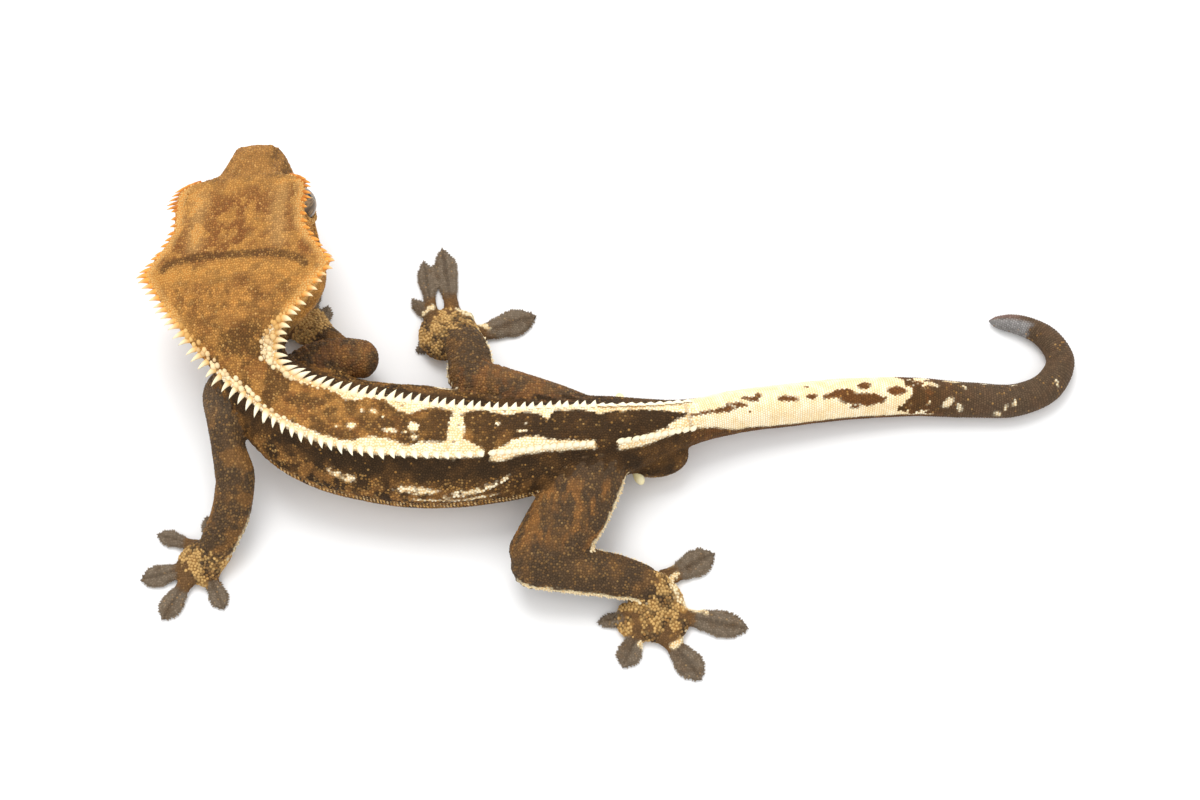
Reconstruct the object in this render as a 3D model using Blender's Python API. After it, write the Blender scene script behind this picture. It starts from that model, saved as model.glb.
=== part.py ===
"""A crested gecko at life size, standing at rest on the floor.

Head, neck, trunk and tail are one body swept along a curved backbone. Its cross-section is set at named
stations by the middle of the back, the crest ridge, the flank and the belly, and thin gaps part it into
lengths. Each leg is a chain of tapered tubes that ends in a palm with leaf-shaped toe pads.
Sizes and places are in millimetres and are multiplied by MM as a mesh is made. +X is towards the tail
and +Z is up, with the floor at zero.
"""

import math

import bmesh
import bpy
import numpy as np
from mathutils import Matrix, Vector

MM = 0.001
GAP = 0.3

# Middle of the footprint in the design's own frame. It becomes the origin.
FOOTPRINT_MIDDLE = (1.45, -1.8)

# Skin colours, linear RGB.
UMBER = (0.075, 0.042, 0.022)
OCHRE = (0.30, 0.165, 0.06)
CREAM = (0.80, 0.68, 0.40)
GREY_BROWN = (0.10, 0.075, 0.055)
EYE_TONE = (0.16, 0.11, 0.08)

# The head's own frame: forward is along the snout, and its middle is between the corners of the crest.
HEAD_MIDDLE = (-57.8, 17.6, 14.0)
HEAD_YAW = 88.2
HEAD_PITCH = 3.5
HEAD_ROLL = 14.0

# Sections of the skull from snout to nape. Each has its place forward of the head's middle, then the
# height of the crown, the ridge's half width and height, the flank's half width and height, the depth
# of the belly or chin, and how far the side bulges between ridge and flank.
SKULL = (
    (24.9, 1.3, 1.4, 0.8, 1.6, 0.0, -0.8, 0.1),
    (24.5, 2.5, 2.6, 1.9, 3.1, -0.1, -1.7, 0.3),
    (23.5, 3.5, 3.3, 2.9, 4.2, -0.2, -2.5, 0.3),
    (21.8, 4.4, 3.7, 3.7, 5.1, -0.4, -3.2, 0.3),
    (19.4, 5.1, 4.4, 4.5, 6.2, -0.7, -3.8, 0.1),
    (17.3, 5.7, 5.8, 5.2, 7.4, -1.0, -4.4, -0.3),
    (15.9, 6.3, 9.4, 6.2, 8.3, -1.3, -4.8, -1.2),
    (14.6, 6.6, 11.0, 6.7, 9.0, -1.6, -5.0, -1.7),
    (12.4, 6.8, 11.6, 6.8, 9.7, -1.9, -5.3, -1.8),
    (9.8, 7.0, 11.5, 6.8, 10.4, -2.1, -5.5, -1.6),
    (7.0, 7.2, 11.7, 6.6, 11.2, -2.4, -5.7, -1.2),
    (4.2, 7.4, 13.3, 6.3, 12.0, -2.7, -5.9, -1.0),
    (1.6, 7.5, 15.3, 6.0, 12.4, -2.8, -6.0, -1.0),
    (-0.2, 7.5, 16.3, 5.8, 12.3, -2.8, -6.0, -1.0),
    (-2.6, 7.4, 14.7, 5.7, 11.4, -2.7, -6.0, -0.8),
    (-5.8, 7.0, 12.0, 5.5, 9.6, -2.3, -5.9, -0.6),
    (-8.8, 6.6, 8.9, 5.3, 7.6, -1.8, -5.7, -0.3),
)

# Sections of the neck and trunk. Each has its centre and roll, then the same seven sizes.
TRUNK = (
    ((-57.6, 5.9, 13.2), 10, 6.4, 6.3, 5.1, 6.3, -1.2, -5.7, 0.0),
    ((-57.0, 3.8, 12.3), 7, 6.3, 5.0, 5.1, 6.0, -0.9, -5.8, 0.4),
    ((-55.3, 1.2, 11.3), 2, 6.4, 4.0, 5.4, 6.1, -0.6, -6.0, 0.8),
    ((-52.2, -2.0, 10.1), -2, 6.7, 4.1, 5.8, 7.8, -0.5, -6.5, 1.0),
    ((-47.4, -4.8, 9.1), -4, 7.0, 4.6, 6.2, 9.2, -0.5, -7.0, 1.2),
    ((-42.4, -6.7, 8.6), -6, 7.2, 4.9, 6.5, 9.7, -0.6, -7.3, 1.2),
    ((-36.8, -7.8, 8.3), -6, 7.3, 5.0, 6.6, 10.0, -0.8, -7.5, 1.2),
    ((-30.2, -8.5, 8.2), -6, 7.3, 4.8, 6.6, 10.3, -0.8, -7.5, 1.3),
    ((-23.2, -9.0, 8.2), -6, 7.2, 4.5, 6.5, 9.8, -0.7, -7.4, 1.3),
    ((-16.0, -8.9, 8.1), -6, 7.0, 4.1, 6.4, 8.9, -0.6, -7.0, 1.3),
    ((-6.5, -7.8, 8.0), -5, 6.6, 3.7, 6.0, 7.6, -0.5, -6.3, 1.2),
    ((2.5, -6.9, 7.8), -3, 6.1, 3.4, 5.4, 6.6, -0.6, -5.8, 1.0),
    ((8.6, -5.6, 7.3), -1, 5.2, 2.9, 4.5, 5.3, -0.7, -5.2, 0.6),
)

# The tail: centre, half width and half height. It lies on the floor from its middle to its tip.
TAIL = (
    ((14.8, -3.9, 6.5), 3.7, 4.3),
    ((22.2, -1.9, 5.7), 3.5, 3.8),
    ((32.0, -0.2, 4.7), 3.5, 3.6),
    ((42.0, 1.1, 3.9), 3.4, 3.4),
    ((52.5, 1.7, 3.1), 3.2, 3.2),
    ((62.0, 1.3, 2.7), 2.9, 2.9),
    ((69.6, 1.4, 2.5), 2.7, 2.7),
    ((74.9, 4.0, 2.3), 2.6, 2.5),
    ((77.1, 8.7, 2.1), 2.35, 2.3),
    ((74.9, 12.8, 1.9), 2.05, 2.05),
    ((70.9, 15.1, 1.6), 1.7, 1.75),
    ((67.2, 15.8, 1.2), 1.15, 1.3),
    ((65.9, 15.95, 1.0), 0.6, 0.8),
)
# How the tail's oval stands to its half width and half height: ridge out, ridge up, flank up, bulge.
TAIL_OVAL = (0.71, 0.71, -0.12, 0.09)

# Named lengths of the body, by distance from the snout, with their number of sections and points round.
BODY_PARTS = (
    ("head", 0.0, 32.3, 24, (4, 5, 5)),
    ("neck", 32.3, 47.0, 11, (3, 5, 5)),
    ("chest", 47.0, 66.0, 9, (3, 5, 5)),
    ("belly", 66.0, 88.0, 9, (3, 5, 5)),
    ("hips", 88.0, 116.5, 13, (3, 5, 5)),
    ("tail_base", 116.5, 138.0, 9, (2, 3, 4)),
    ("tail_middle", 138.0, 163.0, 10, (2, 3, 4)),
    ("tail_curl", 163.0, None, 20, (2, 3, 4)),
)
# How far ahead and behind a section looks for the direction that it faces.
HEADING_REACH = 6.0
BELLY_SQUARENESS = 2.4

# The eye in the head's frame, with the rim of skin round it.
EYE_FORWARD = 12.4
EYE_OUT = 8.1
EYE_UP = 2.3
EYE_RADIUS = 3.3
RIM_RADIUS = 3.4
RIM_THICKNESS = 0.7
RIM_OUT = 1.3

# The line of the mouth, from the tip of the snout back to its corner, as places forward of the head's
# middle, heights and the half width of its groove.
MOUTH_CORNER = (3.0, -2.3)
MOUTH_FRONT = (24.4, -0.6)
MOUTH_GROOVE = 0.36
NOSTRIL = (23.3, 2.8, 1.9)
NOSTRIL_RADIUS = 0.5
EAR = (-1.0, 1.4)
EAR_SIZE = (0.9, 1.0, 0.45)

# Swellings under the root of the tail, and the spur on each side of it: its root, tip and half width.
BULGES = (((8.6, -8.9, 4.3), (6.0, 3.9, 3.2)), ((8.2, -3.4, 4.3), (6.0, 3.4, 3.0)))
SPURS = (((5.6, -11.4, 4.4), (7.6, -14.6, 3.4)), ((3.6, -1.6, 5.8), (3.1, 1.4, 5.4)))
SPUR_HALF_WIDTH = 0.9

# Each limb segment: its points with half width and half height, from the root outwards.
LIMBS = {
    "upper_arm_left": (
        ((-57.2, 3.2, 9.2), 4.0, 3.4),
        ((-60.6, -0.2, 9.4), 4.4, 3.7),
        ((-60.9, -4.9, 9.8), 3.3, 3.2),
        ((-60.4, -9.2, 9.9), 2.8, 2.9),
        ((-59.3, -13.6, 8.9), 3.3, 3.1),
    ),
    "forearm_left": (
        ((-59.1, -14.4, 8.4), 3.2, 3.1),
        ((-60.2, -20.2, 5.9), 3.2, 2.8),
        ((-62.2, -24.2, 3.8), 3.0, 2.5),
    ),
    "upper_arm_right": (
        ((-52.5, 1.5, 8.2), 3.4, 3.3),
        ((-47.2, 5.9, 7.9), 3.3, 3.1),
        ((-43.0, 7.0, 7.5), 3.3, 3.1),
        ((-39.6, 6.9, 7.0), 3.3, 3.1),
    ),
    "forearm_right": (
        ((-39.6, 7.0, 3.8), 2.3, 2.3),
        ((-42.8, 9.2, 3.4), 2.4, 2.2),
        ((-45.8, 11.9, 3.0), 2.4, 2.1),
    ),
    "thigh_left": (
        ((0.0, -8.0, 7.6), 5.6, 4.6),
        ((-2.5, -15.6, 7.6), 5.9, 4.6),
        ((-5.9, -21.8, 7.3), 6.2, 4.3),
        ((-9.5, -27.4, 6.6), 5.7, 4.0),
    ),
    "shank_left": (
        ((-10.7, -28.2, 6.2), 4.1, 3.7),
        ((-3.0, -29.2, 5.6), 3.9, 3.3),
        ((3.2, -29.9, 4.6), 3.6, 2.8),
        ((7.0, -30.7, 3.8), 3.1, 2.4),
    ),
    "thigh_right": (
        ((2.0, -6.4, 7.4), 4.3, 4.2),
        ((-7.0, -2.5, 7.4), 4.4, 4.4),
        ((-14.5, 0.3, 7.4), 4.2, 4.2),
        ((-20.4, 2.5, 6.9), 4.1, 3.9),
    ),
    "shank_right": (
        ((-21.4, 4.2, 6.5), 3.9, 3.5),
        ((-21.6, 7.4, 5.6), 3.7, 3.1),
        ((-22.6, 10.6, 4.4), 3.5, 2.7),
    ),
}
# Each foot: the limb segment that it meets, the palm's points like those of a limb, and its digits.
# A digit has its root, its tip and the width of its pad.
FEET = {
    "hand_left": (
        "forearm_left",
        (
            ((-62.6, -25.0, 2.6), 2.9, 2.4),
            ((-64.8, -26.5, 1.6), 3.9, 1.9),
            ((-66.2, -27.9, 1.1), 3.8, 1.4),
        ),
        (
            ((-64.0, -23.6), (-64.7, -18.2), 2.5),
            ((-66.0, -23.6), (-72.9, -21.4), 3.0),
            ((-67.2, -27.4), (-75.1, -29.3), 4.2),
            ((-67.0, -29.0), (-71.2, -36.0), 4.1),
            ((-63.9, -28.0), (-61.1, -34.3), 3.5),
        ),
    ),
    "hand_right": (
        "forearm_right",
        (
            ((-46.8, 12.9, 2.5), 2.5, 2.2),
            ((-48.6, 14.4, 1.6), 3.4, 1.9),
            ((-50.4, 15.8, 1.1), 3.4, 1.5),
        ),
        (
            ((-47.4, 14.0), (-46.0, 19.2), 2.6),
            ((-49.2, 16.2), (-48.6, 23.6), 3.6),
            ((-51.2, 17.4), (-53.6, 24.6), 4.1),
            ((-52.4, 16.0), (-59.6, 18.6), 4.1),
            ((-51.8, 14.2), (-58.2, 11.8), 3.6),
        ),
    ),
    "foot_left": (
        "shank_left",
        (
            ((8.0, -31.2, 2.9), 3.6, 2.5),
            ((9.2, -33.9, 1.7), 4.9, 2.0),
            ((8.4, -36.7, 1.2), 6.2, 1.6),
            ((8.2, -38.5, 0.9), 5.4, 1.3),
        ),
        (
            ((10.2, -29.4), (18.9, -24.6), 4.9),
            ((12.0, -35.2), (24.2, -37.5), 4.9),
            ((10.6, -38.6), (16.5, -46.0), 5.0),
            ((6.6, -37.4), (3.6, -44.0), 4.4),
            ((5.4, -35.6), (-0.6, -36.4), 2.7),
        ),
    ),
    "foot_right": (
        "shank_right",
        (
            ((-23.0, 11.4, 3.2), 3.8, 2.6),
            ((-25.2, 13.2, 2.0), 5.4, 2.3),
            ((-26.4, 15.0, 1.4), 4.9, 1.8),
            ((-27.1, 16.3, 1.0), 3.9, 1.4),
        ),
        (
            ((-22.0, 13.2), (-10.7, 17.2), 5.2),
            ((-24.8, 16.8), (-27.0, 29.8), 4.4),
            ((-28.2, 16.8), (-30.1, 27.4), 3.2),
            ((-28.4, 15.8), (-32.0, 20.4), 2.4),
            ((-27.2, 13.2), (-31.0, 10.6), 2.4),
        ),
    ),
}
# A digit from root to tip: part of its length, half width as part of the pad's, half height.
DIGIT = (
    (0.00, 0.80, 1.15),
    (0.22, 0.62, 0.95),
    (0.42, 0.80, 0.75),
    (0.64, 1.00, 0.65),
    (0.82, 0.80, 0.60),
    (0.93, 0.42, 0.50),
    (1.00, 0.12, 0.30),
)
LIMB_SIDES = 12
DIGIT_SIDES = 6
# Sections of a rounded end: how far past the end, and how wide, as parts of the end's own radius.
ROUND_END = ((0.42, 0.90), (0.76, 0.62), (0.94, 0.30))
TUBE_SPACING = 1.9

# Rows of spines on the ridge, by distance from the snout. Each stretch has its side, its start and end,
# the spacing along the ridge, the length of its first and last spine and their half width.
SPINE_ROWS = (
    (1, 8.9, 13.0, 0.95, 1.3, 1.3, 0.33),
    (1, 14.0, 24.0, 1.55, 0.9, 1.0, 0.36),
    (1, 24.9, 32.2, 1.55, 1.6, 1.6, 0.42),
    (1, 32.9, 47.0, 1.75, 1.9, 2.5, 0.48),
    (1, 47.0, 66.0, 1.85, 2.4, 1.9, 0.48),
    (1, 66.0, 79.5, 2.0, 1.8, 0.9, 0.45),
    (-1, 8.9, 13.0, 0.95, 1.0, 1.1, 0.33),
    (-1, 14.0, 24.0, 1.55, 0.8, 1.0, 0.36),
    (-1, 24.9, 32.2, 1.45, 1.5, 2.0, 0.42),
    (-1, 32.9, 47.0, 1.2, 2.6, 2.7, 0.45),
    (-1, 47.0, 66.0, 1.5, 2.2, 1.9, 0.45),
    (-1, 66.0, 88.0, 1.75, 1.8, 1.2, 0.42),
    (-1, 88.0, 99.0, 2.0, 1.1, 0.7, 0.40),
)
SPINE_ROOT = 1.1
SPINE_SIDES = 5
SPINE_RISE = 0.45
SPINE_LEAN = 0.2
SPINE_SEED = 7


def hermite(knots, values, at):
    """Read a smooth curve through values at the knots at each place in at."""
    slopes = np.gradient(values, knots, axis=0)
    left = np.clip(np.searchsorted(knots, at, side="right") - 1, 0, len(knots) - 2)
    width = (knots[left + 1] - knots[left])[:, None]
    t = (at - knots[left])[:, None] / width
    return (
        (1 + 2 * t) * (1 - t) ** 2 * values[left]
        + t * (1 - t) ** 2 * width * slopes[left]
        + t * t * (3 - 2 * t) * values[left + 1]
        + t * t * (t - 1) * width * slopes[left + 1]
    )


def unit(vector):
    return vector / np.linalg.norm(vector)


def section_axes(forward, roll=0.0):
    """Left and up across a section that faces forward, its back tipped by roll degrees to the left."""
    left = unit(np.cross((0, 0, 1), forward))
    up = np.cross(forward, left)
    turn = math.radians(roll)
    return (
        left * math.cos(turn) - up * math.sin(turn),
        up * math.cos(turn) + left * math.sin(turn),
    )


def head_axes():
    yaw = math.radians(HEAD_YAW)
    pitch = math.radians(HEAD_PITCH)
    level = np.array((math.cos(yaw), math.sin(yaw), 0))
    forward = level * math.cos(pitch) - np.array((0, 0, 1)) * math.sin(pitch)
    return (forward, *section_axes(forward, HEAD_ROLL))


def head_point(forward, out, up):
    """A point of the head, with out to the animal's left."""
    axes = head_axes()
    return np.array(HEAD_MIDDLE) + axes[0] * forward + axes[1] * out + axes[2] * up


def body_stations():
    """Distance from the snout, and centre, roll and seven sizes, of every station."""
    rows = [(*head_point(row[0], 0, 0), HEAD_ROLL, *row[1:]) for row in SKULL]
    rows += [(*row[0], *row[1:]) for row in TRUNK]
    ridge_out, ridge_up, flank_up, bulge = TAIL_OVAL
    for centre, half_width, half_height in TAIL:
        ridge = (half_width * ridge_out, half_height * ridge_up)
        flank = (half_width, half_height * flank_up)
        rows.append((*centre, 0, half_height, *ridge, *flank, -half_height, half_width * bulge))
    rows = np.array(rows)
    steps = np.linalg.norm(np.diff(rows[:, :3], axis=0), axis=1)
    return np.concatenate(([0.0], np.cumsum(steps))), rows


def body_frames(places):
    """Centre, left, up and sizes of the body's section at each distance from the snout."""
    knots, rows = body_stations()
    places = np.asarray(places, float)
    values = hermite(knots, rows, places)
    ahead = hermite(knots, rows[:, :3], np.maximum(places - HEADING_REACH, 0))
    behind = hermite(knots, rows[:, :3], np.minimum(places + HEADING_REACH, knots[-1]))
    frames = []
    for value, toward in zip(values, ahead - behind):
        left, up = section_axes(unit(toward), value[3])
        frames.append((value[:3], left, up, value[4:]))
    return frames


def half_section(sizes, counts):
    """Half of a section from the middle of the back to the middle of the belly, as (out, up) points."""
    crown, ridge_w, ridge_h, flank_w, flank_h, belly, bulge = sizes
    top, side, bottom = counts
    points = []
    for t in np.arange(top) / top:
        points.append((ridge_w * t, crown + (ridge_h - crown) * t * t))
    for t in np.arange(side) / side:
        out = ridge_w + (flank_w - ridge_w) * t * t * (3 - 2 * t) + bulge * math.sin(math.pi * t)
        points.append((out, ridge_h + (flank_h - ridge_h) * t))
    for angle in np.linspace(0, math.pi / 2, bottom + 1):
        out = flank_w * abs(math.cos(angle)) ** (2 / BELLY_SQUARENESS)
        down = (belly - flank_h) * math.sin(angle) ** (2 / BELLY_SQUARENESS)
        points.append((out, flank_h + down))
    points[-1] = (0.0, belly)
    return points


def body_ring(frame, counts, grow=0.0):
    """The section's points in order round the body, grown outwards for a cutter."""
    centre, left, up, sizes = frame
    sizes = np.array(sizes) + grow * np.array((1, 1, 1, 1, 0, -1, 0))
    half = half_section(sizes, counts)
    outline = half + [(-out, height) for out, height in half[-2:0:-1]]
    return [centre + left * out + up * height for out, height in outline]


def on_floor(points):
    """Press what lies below the floor flat onto it."""
    return [(p[0], p[1], max(p[2], 0.0)) for p in points]


def loft(name, rings, tip=None, root=None):
    """A closed solid through rings of equal count, with flat ends, or with a point at either end."""
    mesh = bpy.data.meshes.new(name)
    bm = bmesh.new()
    rows = [[bm.verts.new(Vector(point) * MM) for point in on_floor(ring)] for ring in rings]
    for first, second in zip(rows, rows[1:]):
        for i, corner in enumerate(first):
            j = (i + 1) % len(first)
            bm.faces.new((corner, first[j], second[j], second[i]))
    for row, point in ((rows[0], root), (rows[-1], tip)):
        if point is None:
            bm.faces.new(row)
            continue
        apex = bm.verts.new(Vector(on_floor([point])[0]) * MM)
        for i, corner in enumerate(row):
            bm.faces.new((corner, row[(i + 1) % len(row)], apex))
    bmesh.ops.recalc_face_normals(bm, faces=bm.faces)
    if bm.calc_volume(signed=True) < 0:
        bmesh.ops.reverse_faces(bm, faces=bm.faces)
    bm.to_mesh(mesh)
    bm.free()
    solid = bpy.data.objects.new(name, mesh)
    bpy.context.collection.objects.link(solid)
    return solid


def body_length(name, start, end, sections, counts, grow=0.0):
    """One length of the body between two distances from the snout."""
    frames = body_frames(np.linspace(start, end, sections))
    return loft(name, [body_ring(frame, counts, grow) for frame in frames])


def tube(name, stations, sides=LIMB_SIDES, grow=0.0):
    """A tapered tube with an oval section and rounded ends through (centre, half width, half height)."""
    rows = np.array([(*centre, half_width, half_height) for centre, half_width, half_height in stations])
    steps = np.linalg.norm(np.diff(rows[:, :3], axis=0), axis=1)
    knots = np.concatenate(([0.0], np.cumsum(steps)))
    count = max(2, round(knots[-1] / TUBE_SPACING)) + 1
    places = np.linspace(0, knots[-1], count)
    values = hermite(knots, rows, places)
    before = hermite(knots, rows[:, :3], places - 0.1)
    after = hermite(knots, rows[:, :3], places + 0.1)
    rings = []
    for value, toward in zip(values, after - before):
        rings.append((value[:3], unit(toward), value[3] + grow, value[4] + grow))
    first, last = rings[0], rings[-1]
    rings = [rounded(first, -reach, size) for reach, size in reversed(ROUND_END)] + rings
    rings += [rounded(last, reach, size) for reach, size in ROUND_END]
    root = first[0] - first[1] * min(first[2:])
    tip = last[0] + last[1] * min(last[2:])
    return loft(name, [oval(*ring, sides) for ring in rings], tip, root)


def rounded(ring, reach, size):
    """A section of a rounded end, set off along the tube by reach radii."""
    centre, toward, half_width, half_height = ring
    radius = min(half_width, half_height)
    return (centre + toward * reach * radius, toward, half_width * size, half_height * size)


def oval(centre, toward, half_width, half_height, sides):
    left, up = section_axes(toward)
    angles = np.arange(sides) * 2 * math.pi / sides
    return [centre + left * half_width * math.cos(a) + up * half_height * math.sin(a) for a in angles]


def digit(name, root, tip, pad_width):
    """A toe: a slim stem that widens into a flat leaf-shaped pad and ends in a claw's point."""
    start = np.array((*root, 0.0))
    run = np.array((*tip, 0.0)) - start
    toward = unit(run)
    rings = []
    for part, width, half_height in DIGIT:
        centre = start + run * part + np.array((0, 0, half_height * 0.8))
        rings.append(oval(centre, toward, pad_width / 2 * width, half_height, DIGIT_SIDES))
    return loft(name, rings)


def ball(name, centre, radii, axes, segments=16, rings=10):
    """An ellipsoid with its three radii along the given axes."""
    mesh = bpy.data.meshes.new(name)
    bm = bmesh.new()
    bmesh.ops.create_uvsphere(bm, u_segments=segments, v_segments=rings, radius=1.0)
    turn = Matrix([Vector(axis) * radius for axis, radius in zip(axes, radii)]).transposed()
    for vert in bm.verts:
        vert.co = (turn @ vert.co + Vector(centre)) * MM
    if turn.determinant() < 0:
        bmesh.ops.reverse_faces(bm, faces=bm.faces)
    bm.to_mesh(mesh)
    bm.free()
    solid = bpy.data.objects.new(name, mesh)
    bpy.context.collection.objects.link(solid)
    return solid


def combine(solid, pieces, operation):
    """Add the pieces to the solid or cut them from it, and remove them."""
    group = bpy.data.collections.new(solid.name + "_pieces")
    for piece in pieces:
        group.objects.link(piece)
    modifier = solid.modifiers.new("combine", "BOOLEAN")
    modifier.operation = operation
    modifier.operand_type = "COLLECTION"
    modifier.collection = group
    modifier.solver = "EXACT"
    graph = bpy.context.evaluated_depsgraph_get()
    mesh = bpy.data.meshes.new_from_object(solid.evaluated_get(graph))
    solid.modifiers.clear()
    solid.data = mesh
    for piece in pieces:
        bpy.data.objects.remove(piece)
    bpy.data.collections.remove(group)
    keep_largest(solid)


def keep_largest(solid):
    """Drop every closed surface of the mesh but the largest, also one that only touches it at an edge."""
    bm = bmesh.new()
    bm.from_mesh(solid.data)
    unseen = set(bm.faces)
    islands = []
    while unseen:
        stack = [unseen.pop()]
        island = set(stack)
        while stack:
            for edge in stack.pop().edges:
                if len(edge.link_faces) != 2:
                    continue
                for face in edge.link_faces:
                    if face in unseen:
                        unseen.remove(face)
                        island.add(face)
                        stack.append(face)
        islands.append(island)
    islands.sort(key=len)
    for island in islands[:-1]:
        bmesh.ops.delete(bm, geom=list(island), context="FACES")
    bm.to_mesh(solid.data)
    bm.free()


def skin(name, colour, roughness=0.75):
    """The node's own material."""
    material = bpy.data.materials.new(name)
    material.use_nodes = True
    shader = material.node_tree.nodes["Principled BSDF"]
    shader.inputs["Base Color"].default_value = (*colour, 1)
    shader.inputs["Roughness"].default_value = roughness
    shader.inputs["Metallic"].default_value = 0.0
    return material


def finish(solid, parent, colour, roughness=0.75):
    """Shade the solid, give it its material and stand it in the part's frame."""
    solid.data.shade_smooth()
    solid.data.set_sharp_from_angle(angle=math.radians(40))
    solid.data.materials.clear()
    solid.data.materials.append(skin(solid.name, colour, roughness))
    solid.parent = parent


def ridge_frame(place, side):
    """A point on the crest ridge of one side, with the directions out, up and back there."""
    centre, left, up, sizes = body_frames([place])[0]
    out = left * side
    point = centre + out * sizes[1] + up * sizes[2]
    return point, out, up, np.cross(out, up) * side


def spine(name, point, rise, back, length, half_width):
    """A tapering spine with its root in the ridge, curved a little towards the tail."""
    across = unit(np.cross(rise, back))
    along = np.cross(across, rise)
    rings = []
    for height, width in ((-SPINE_ROOT, 1.3), (length * 0.5, 0.66)):
        centre = point + rise * height
        turns = np.arange(SPINE_SIDES) * 2 * math.pi / SPINE_SIDES
        size = half_width * width
        rings.append([centre + (along * math.cos(a) + across * math.sin(a)) * size for a in turns])
    return loft(name, rings, point + rise * length + back * length * SPINE_LEAN)


def spine_places(side, start, end, spacing):
    """Distances from the snout that are evenly spaced along the ridge itself."""
    fine = np.linspace(start, end, 60)
    points = np.array([ridge_frame(place, side)[0] for place in fine])
    run = np.concatenate(([0.0], np.cumsum(np.linalg.norm(np.diff(points, axis=0), axis=1))))
    count = max(2, round(run[-1] / spacing) + 1)
    return np.interp(np.linspace(0, run[-1], count), run, fine)


def cone(name, root, tip, half_width, sides=6):
    """A blunt spine from root to tip."""
    root, tip = np.array(root), np.array(tip)
    toward = unit(tip - root)
    stem = root + (tip - root) * 0.7
    rings = [
        oval(root, toward, half_width, half_width, sides),
        oval(stem, toward, half_width * 0.75, half_width * 0.75, sides),
    ]
    return loft(name, rings, tip)


def hip_forms():
    """The paired swellings under the root of the tail and the spurs beside it."""
    level = ((1, 0, 0), (0, 1, 0), (0, 0, 1))
    pieces = [ball("bulge", centre, radii, level, 14, 8) for centre, radii in BULGES]
    return pieces + [cone("spur", root, tip, SPUR_HALF_WIDTH) for root, tip in SPURS]


def crest_spines(start, end):
    """The spines of both sides that are rooted in one length of the body."""
    vary = np.random.default_rng(SPINE_SEED)
    pieces = []
    for side, first, last, spacing, first_length, last_length, half_width in SPINE_ROWS:
        low = max(first, start + 0.7)
        high = min(last, end - 0.7)
        if high - low < spacing:
            continue
        for place in spine_places(side, low, high, spacing):
            point, out, up, back = ridge_frame(place, side)
            part = (place - first) / (last - first)
            length = (first_length + (last_length - first_length) * part) * vary.uniform(0.85, 1.12)
            rise = unit(out + up * (SPINE_RISE + vary.uniform(-0.12, 0.12)) + back * vary.uniform(-0.1, 0.2))
            pieces.append(spine("spine", point, rise, back, length, half_width))
    return pieces


def eye_centre(side):
    return head_point(EYE_FORWARD, EYE_OUT * side, EYE_UP)


def eye_rim(side):
    """The raised rim of skin round an eye."""
    forward, left, up = head_axes()
    out = unit(left * side + forward * 0.25 + up * 0.12)
    around = unit(np.cross(out, up))
    above = np.cross(around, out)
    middle = eye_centre(side) + out * RIM_OUT
    rings = []
    for angle in np.linspace(0, 2 * math.pi, 19):
        spoke = around * math.cos(angle) + above * math.sin(angle)
        centre = middle + spoke * RIM_RADIUS
        turns = np.linspace(0, 2 * math.pi, 6)[:-1]
        rings.append(
            [centre + (spoke * math.cos(a) + out * math.sin(a)) * RIM_THICKNESS for a in turns]
        )
    return closed_loop("rim", rings[:-1])


def closed_loop(name, rings):
    """A closed ring-shaped solid through the rings and back to the first."""
    mesh = bpy.data.meshes.new(name)
    bm = bmesh.new()
    rows = [[bm.verts.new(Vector(point) * MM) for point in ring] for ring in rings]
    for first, second in zip(rows, rows[1:] + rows[:1]):
        for i, corner in enumerate(first):
            j = (i + 1) % len(first)
            bm.faces.new((corner, first[j], second[j], second[i]))
    bmesh.ops.recalc_face_normals(bm, faces=bm.faces)
    if bm.calc_volume(signed=True) < 0:
        bmesh.ops.reverse_faces(bm, faces=bm.faces)
    bm.to_mesh(mesh)
    bm.free()
    solid = bpy.data.objects.new(name, mesh)
    bpy.context.collection.objects.link(solid)
    return solid


def flank_point(forward, height, side):
    """A point on the side of the head at a place forward of its middle, at one height."""
    knots, rows = body_stations()
    sizes = hermite(knots, rows, np.array([SKULL[0][0] - forward]))[0][4:]
    half = half_section(sizes, (4, 9, 9))
    outs = [out for out, _ in half]
    heights = [up for _, up in half]
    out = np.interp(-height, [-h for h in heights], outs)
    return head_point(forward, out * side, height)


def mouth_groove():
    """The cutter for the line of the mouth, round the snout from one corner to the other."""
    back, back_height = MOUTH_CORNER
    front, front_height = MOUTH_FRONT
    forwards = np.linspace(back, front, 10)
    heights = np.interp(forwards, (back, front), (back_height, front_height))
    left = [flank_point(f, h, 1) for f, h in zip(forwards, heights)]
    right = [flank_point(f, h, -1) for f, h in zip(forwards, heights)]
    path = left + [head_point(SKULL[0][0] + 0.1, 0, front_height)] + right[::-1]
    _, _, up = head_axes()
    rings = []
    for i, centre in enumerate(path):
        toward = unit(path[min(i + 1, len(path) - 1)] - path[max(i - 1, 0)])
        out = unit(np.cross(toward, up))
        rings.append(
            [
                centre + out * MOUTH_GROOVE * 1.6,
                centre + up * MOUTH_GROOVE,
                centre - out * MOUTH_GROOVE * 1.6,
                centre - up * MOUTH_GROOVE,
            ]
        )
    return loft("mouth", rings)


def face_cutters():
    """Eye sockets, nostrils, ear openings and the line of the mouth."""
    axes = head_axes()
    cutters = [mouth_groove()]
    for side in (1, -1):
        socket = EYE_RADIUS + GAP
        cutters.append(ball("socket", eye_centre(side), (socket,) * 3, axes))
        forward, out, up = NOSTRIL
        nostril = (NOSTRIL_RADIUS,) * 3
        cutters.append(ball("nostril", head_point(forward, out * side, up), nostril, axes, 8, 6))
        forward, up = EAR
        cutters.append(ball("ear", flank_point(forward, up, side), EAR_SIZE, axes, 10, 6))
    return cutters


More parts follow.
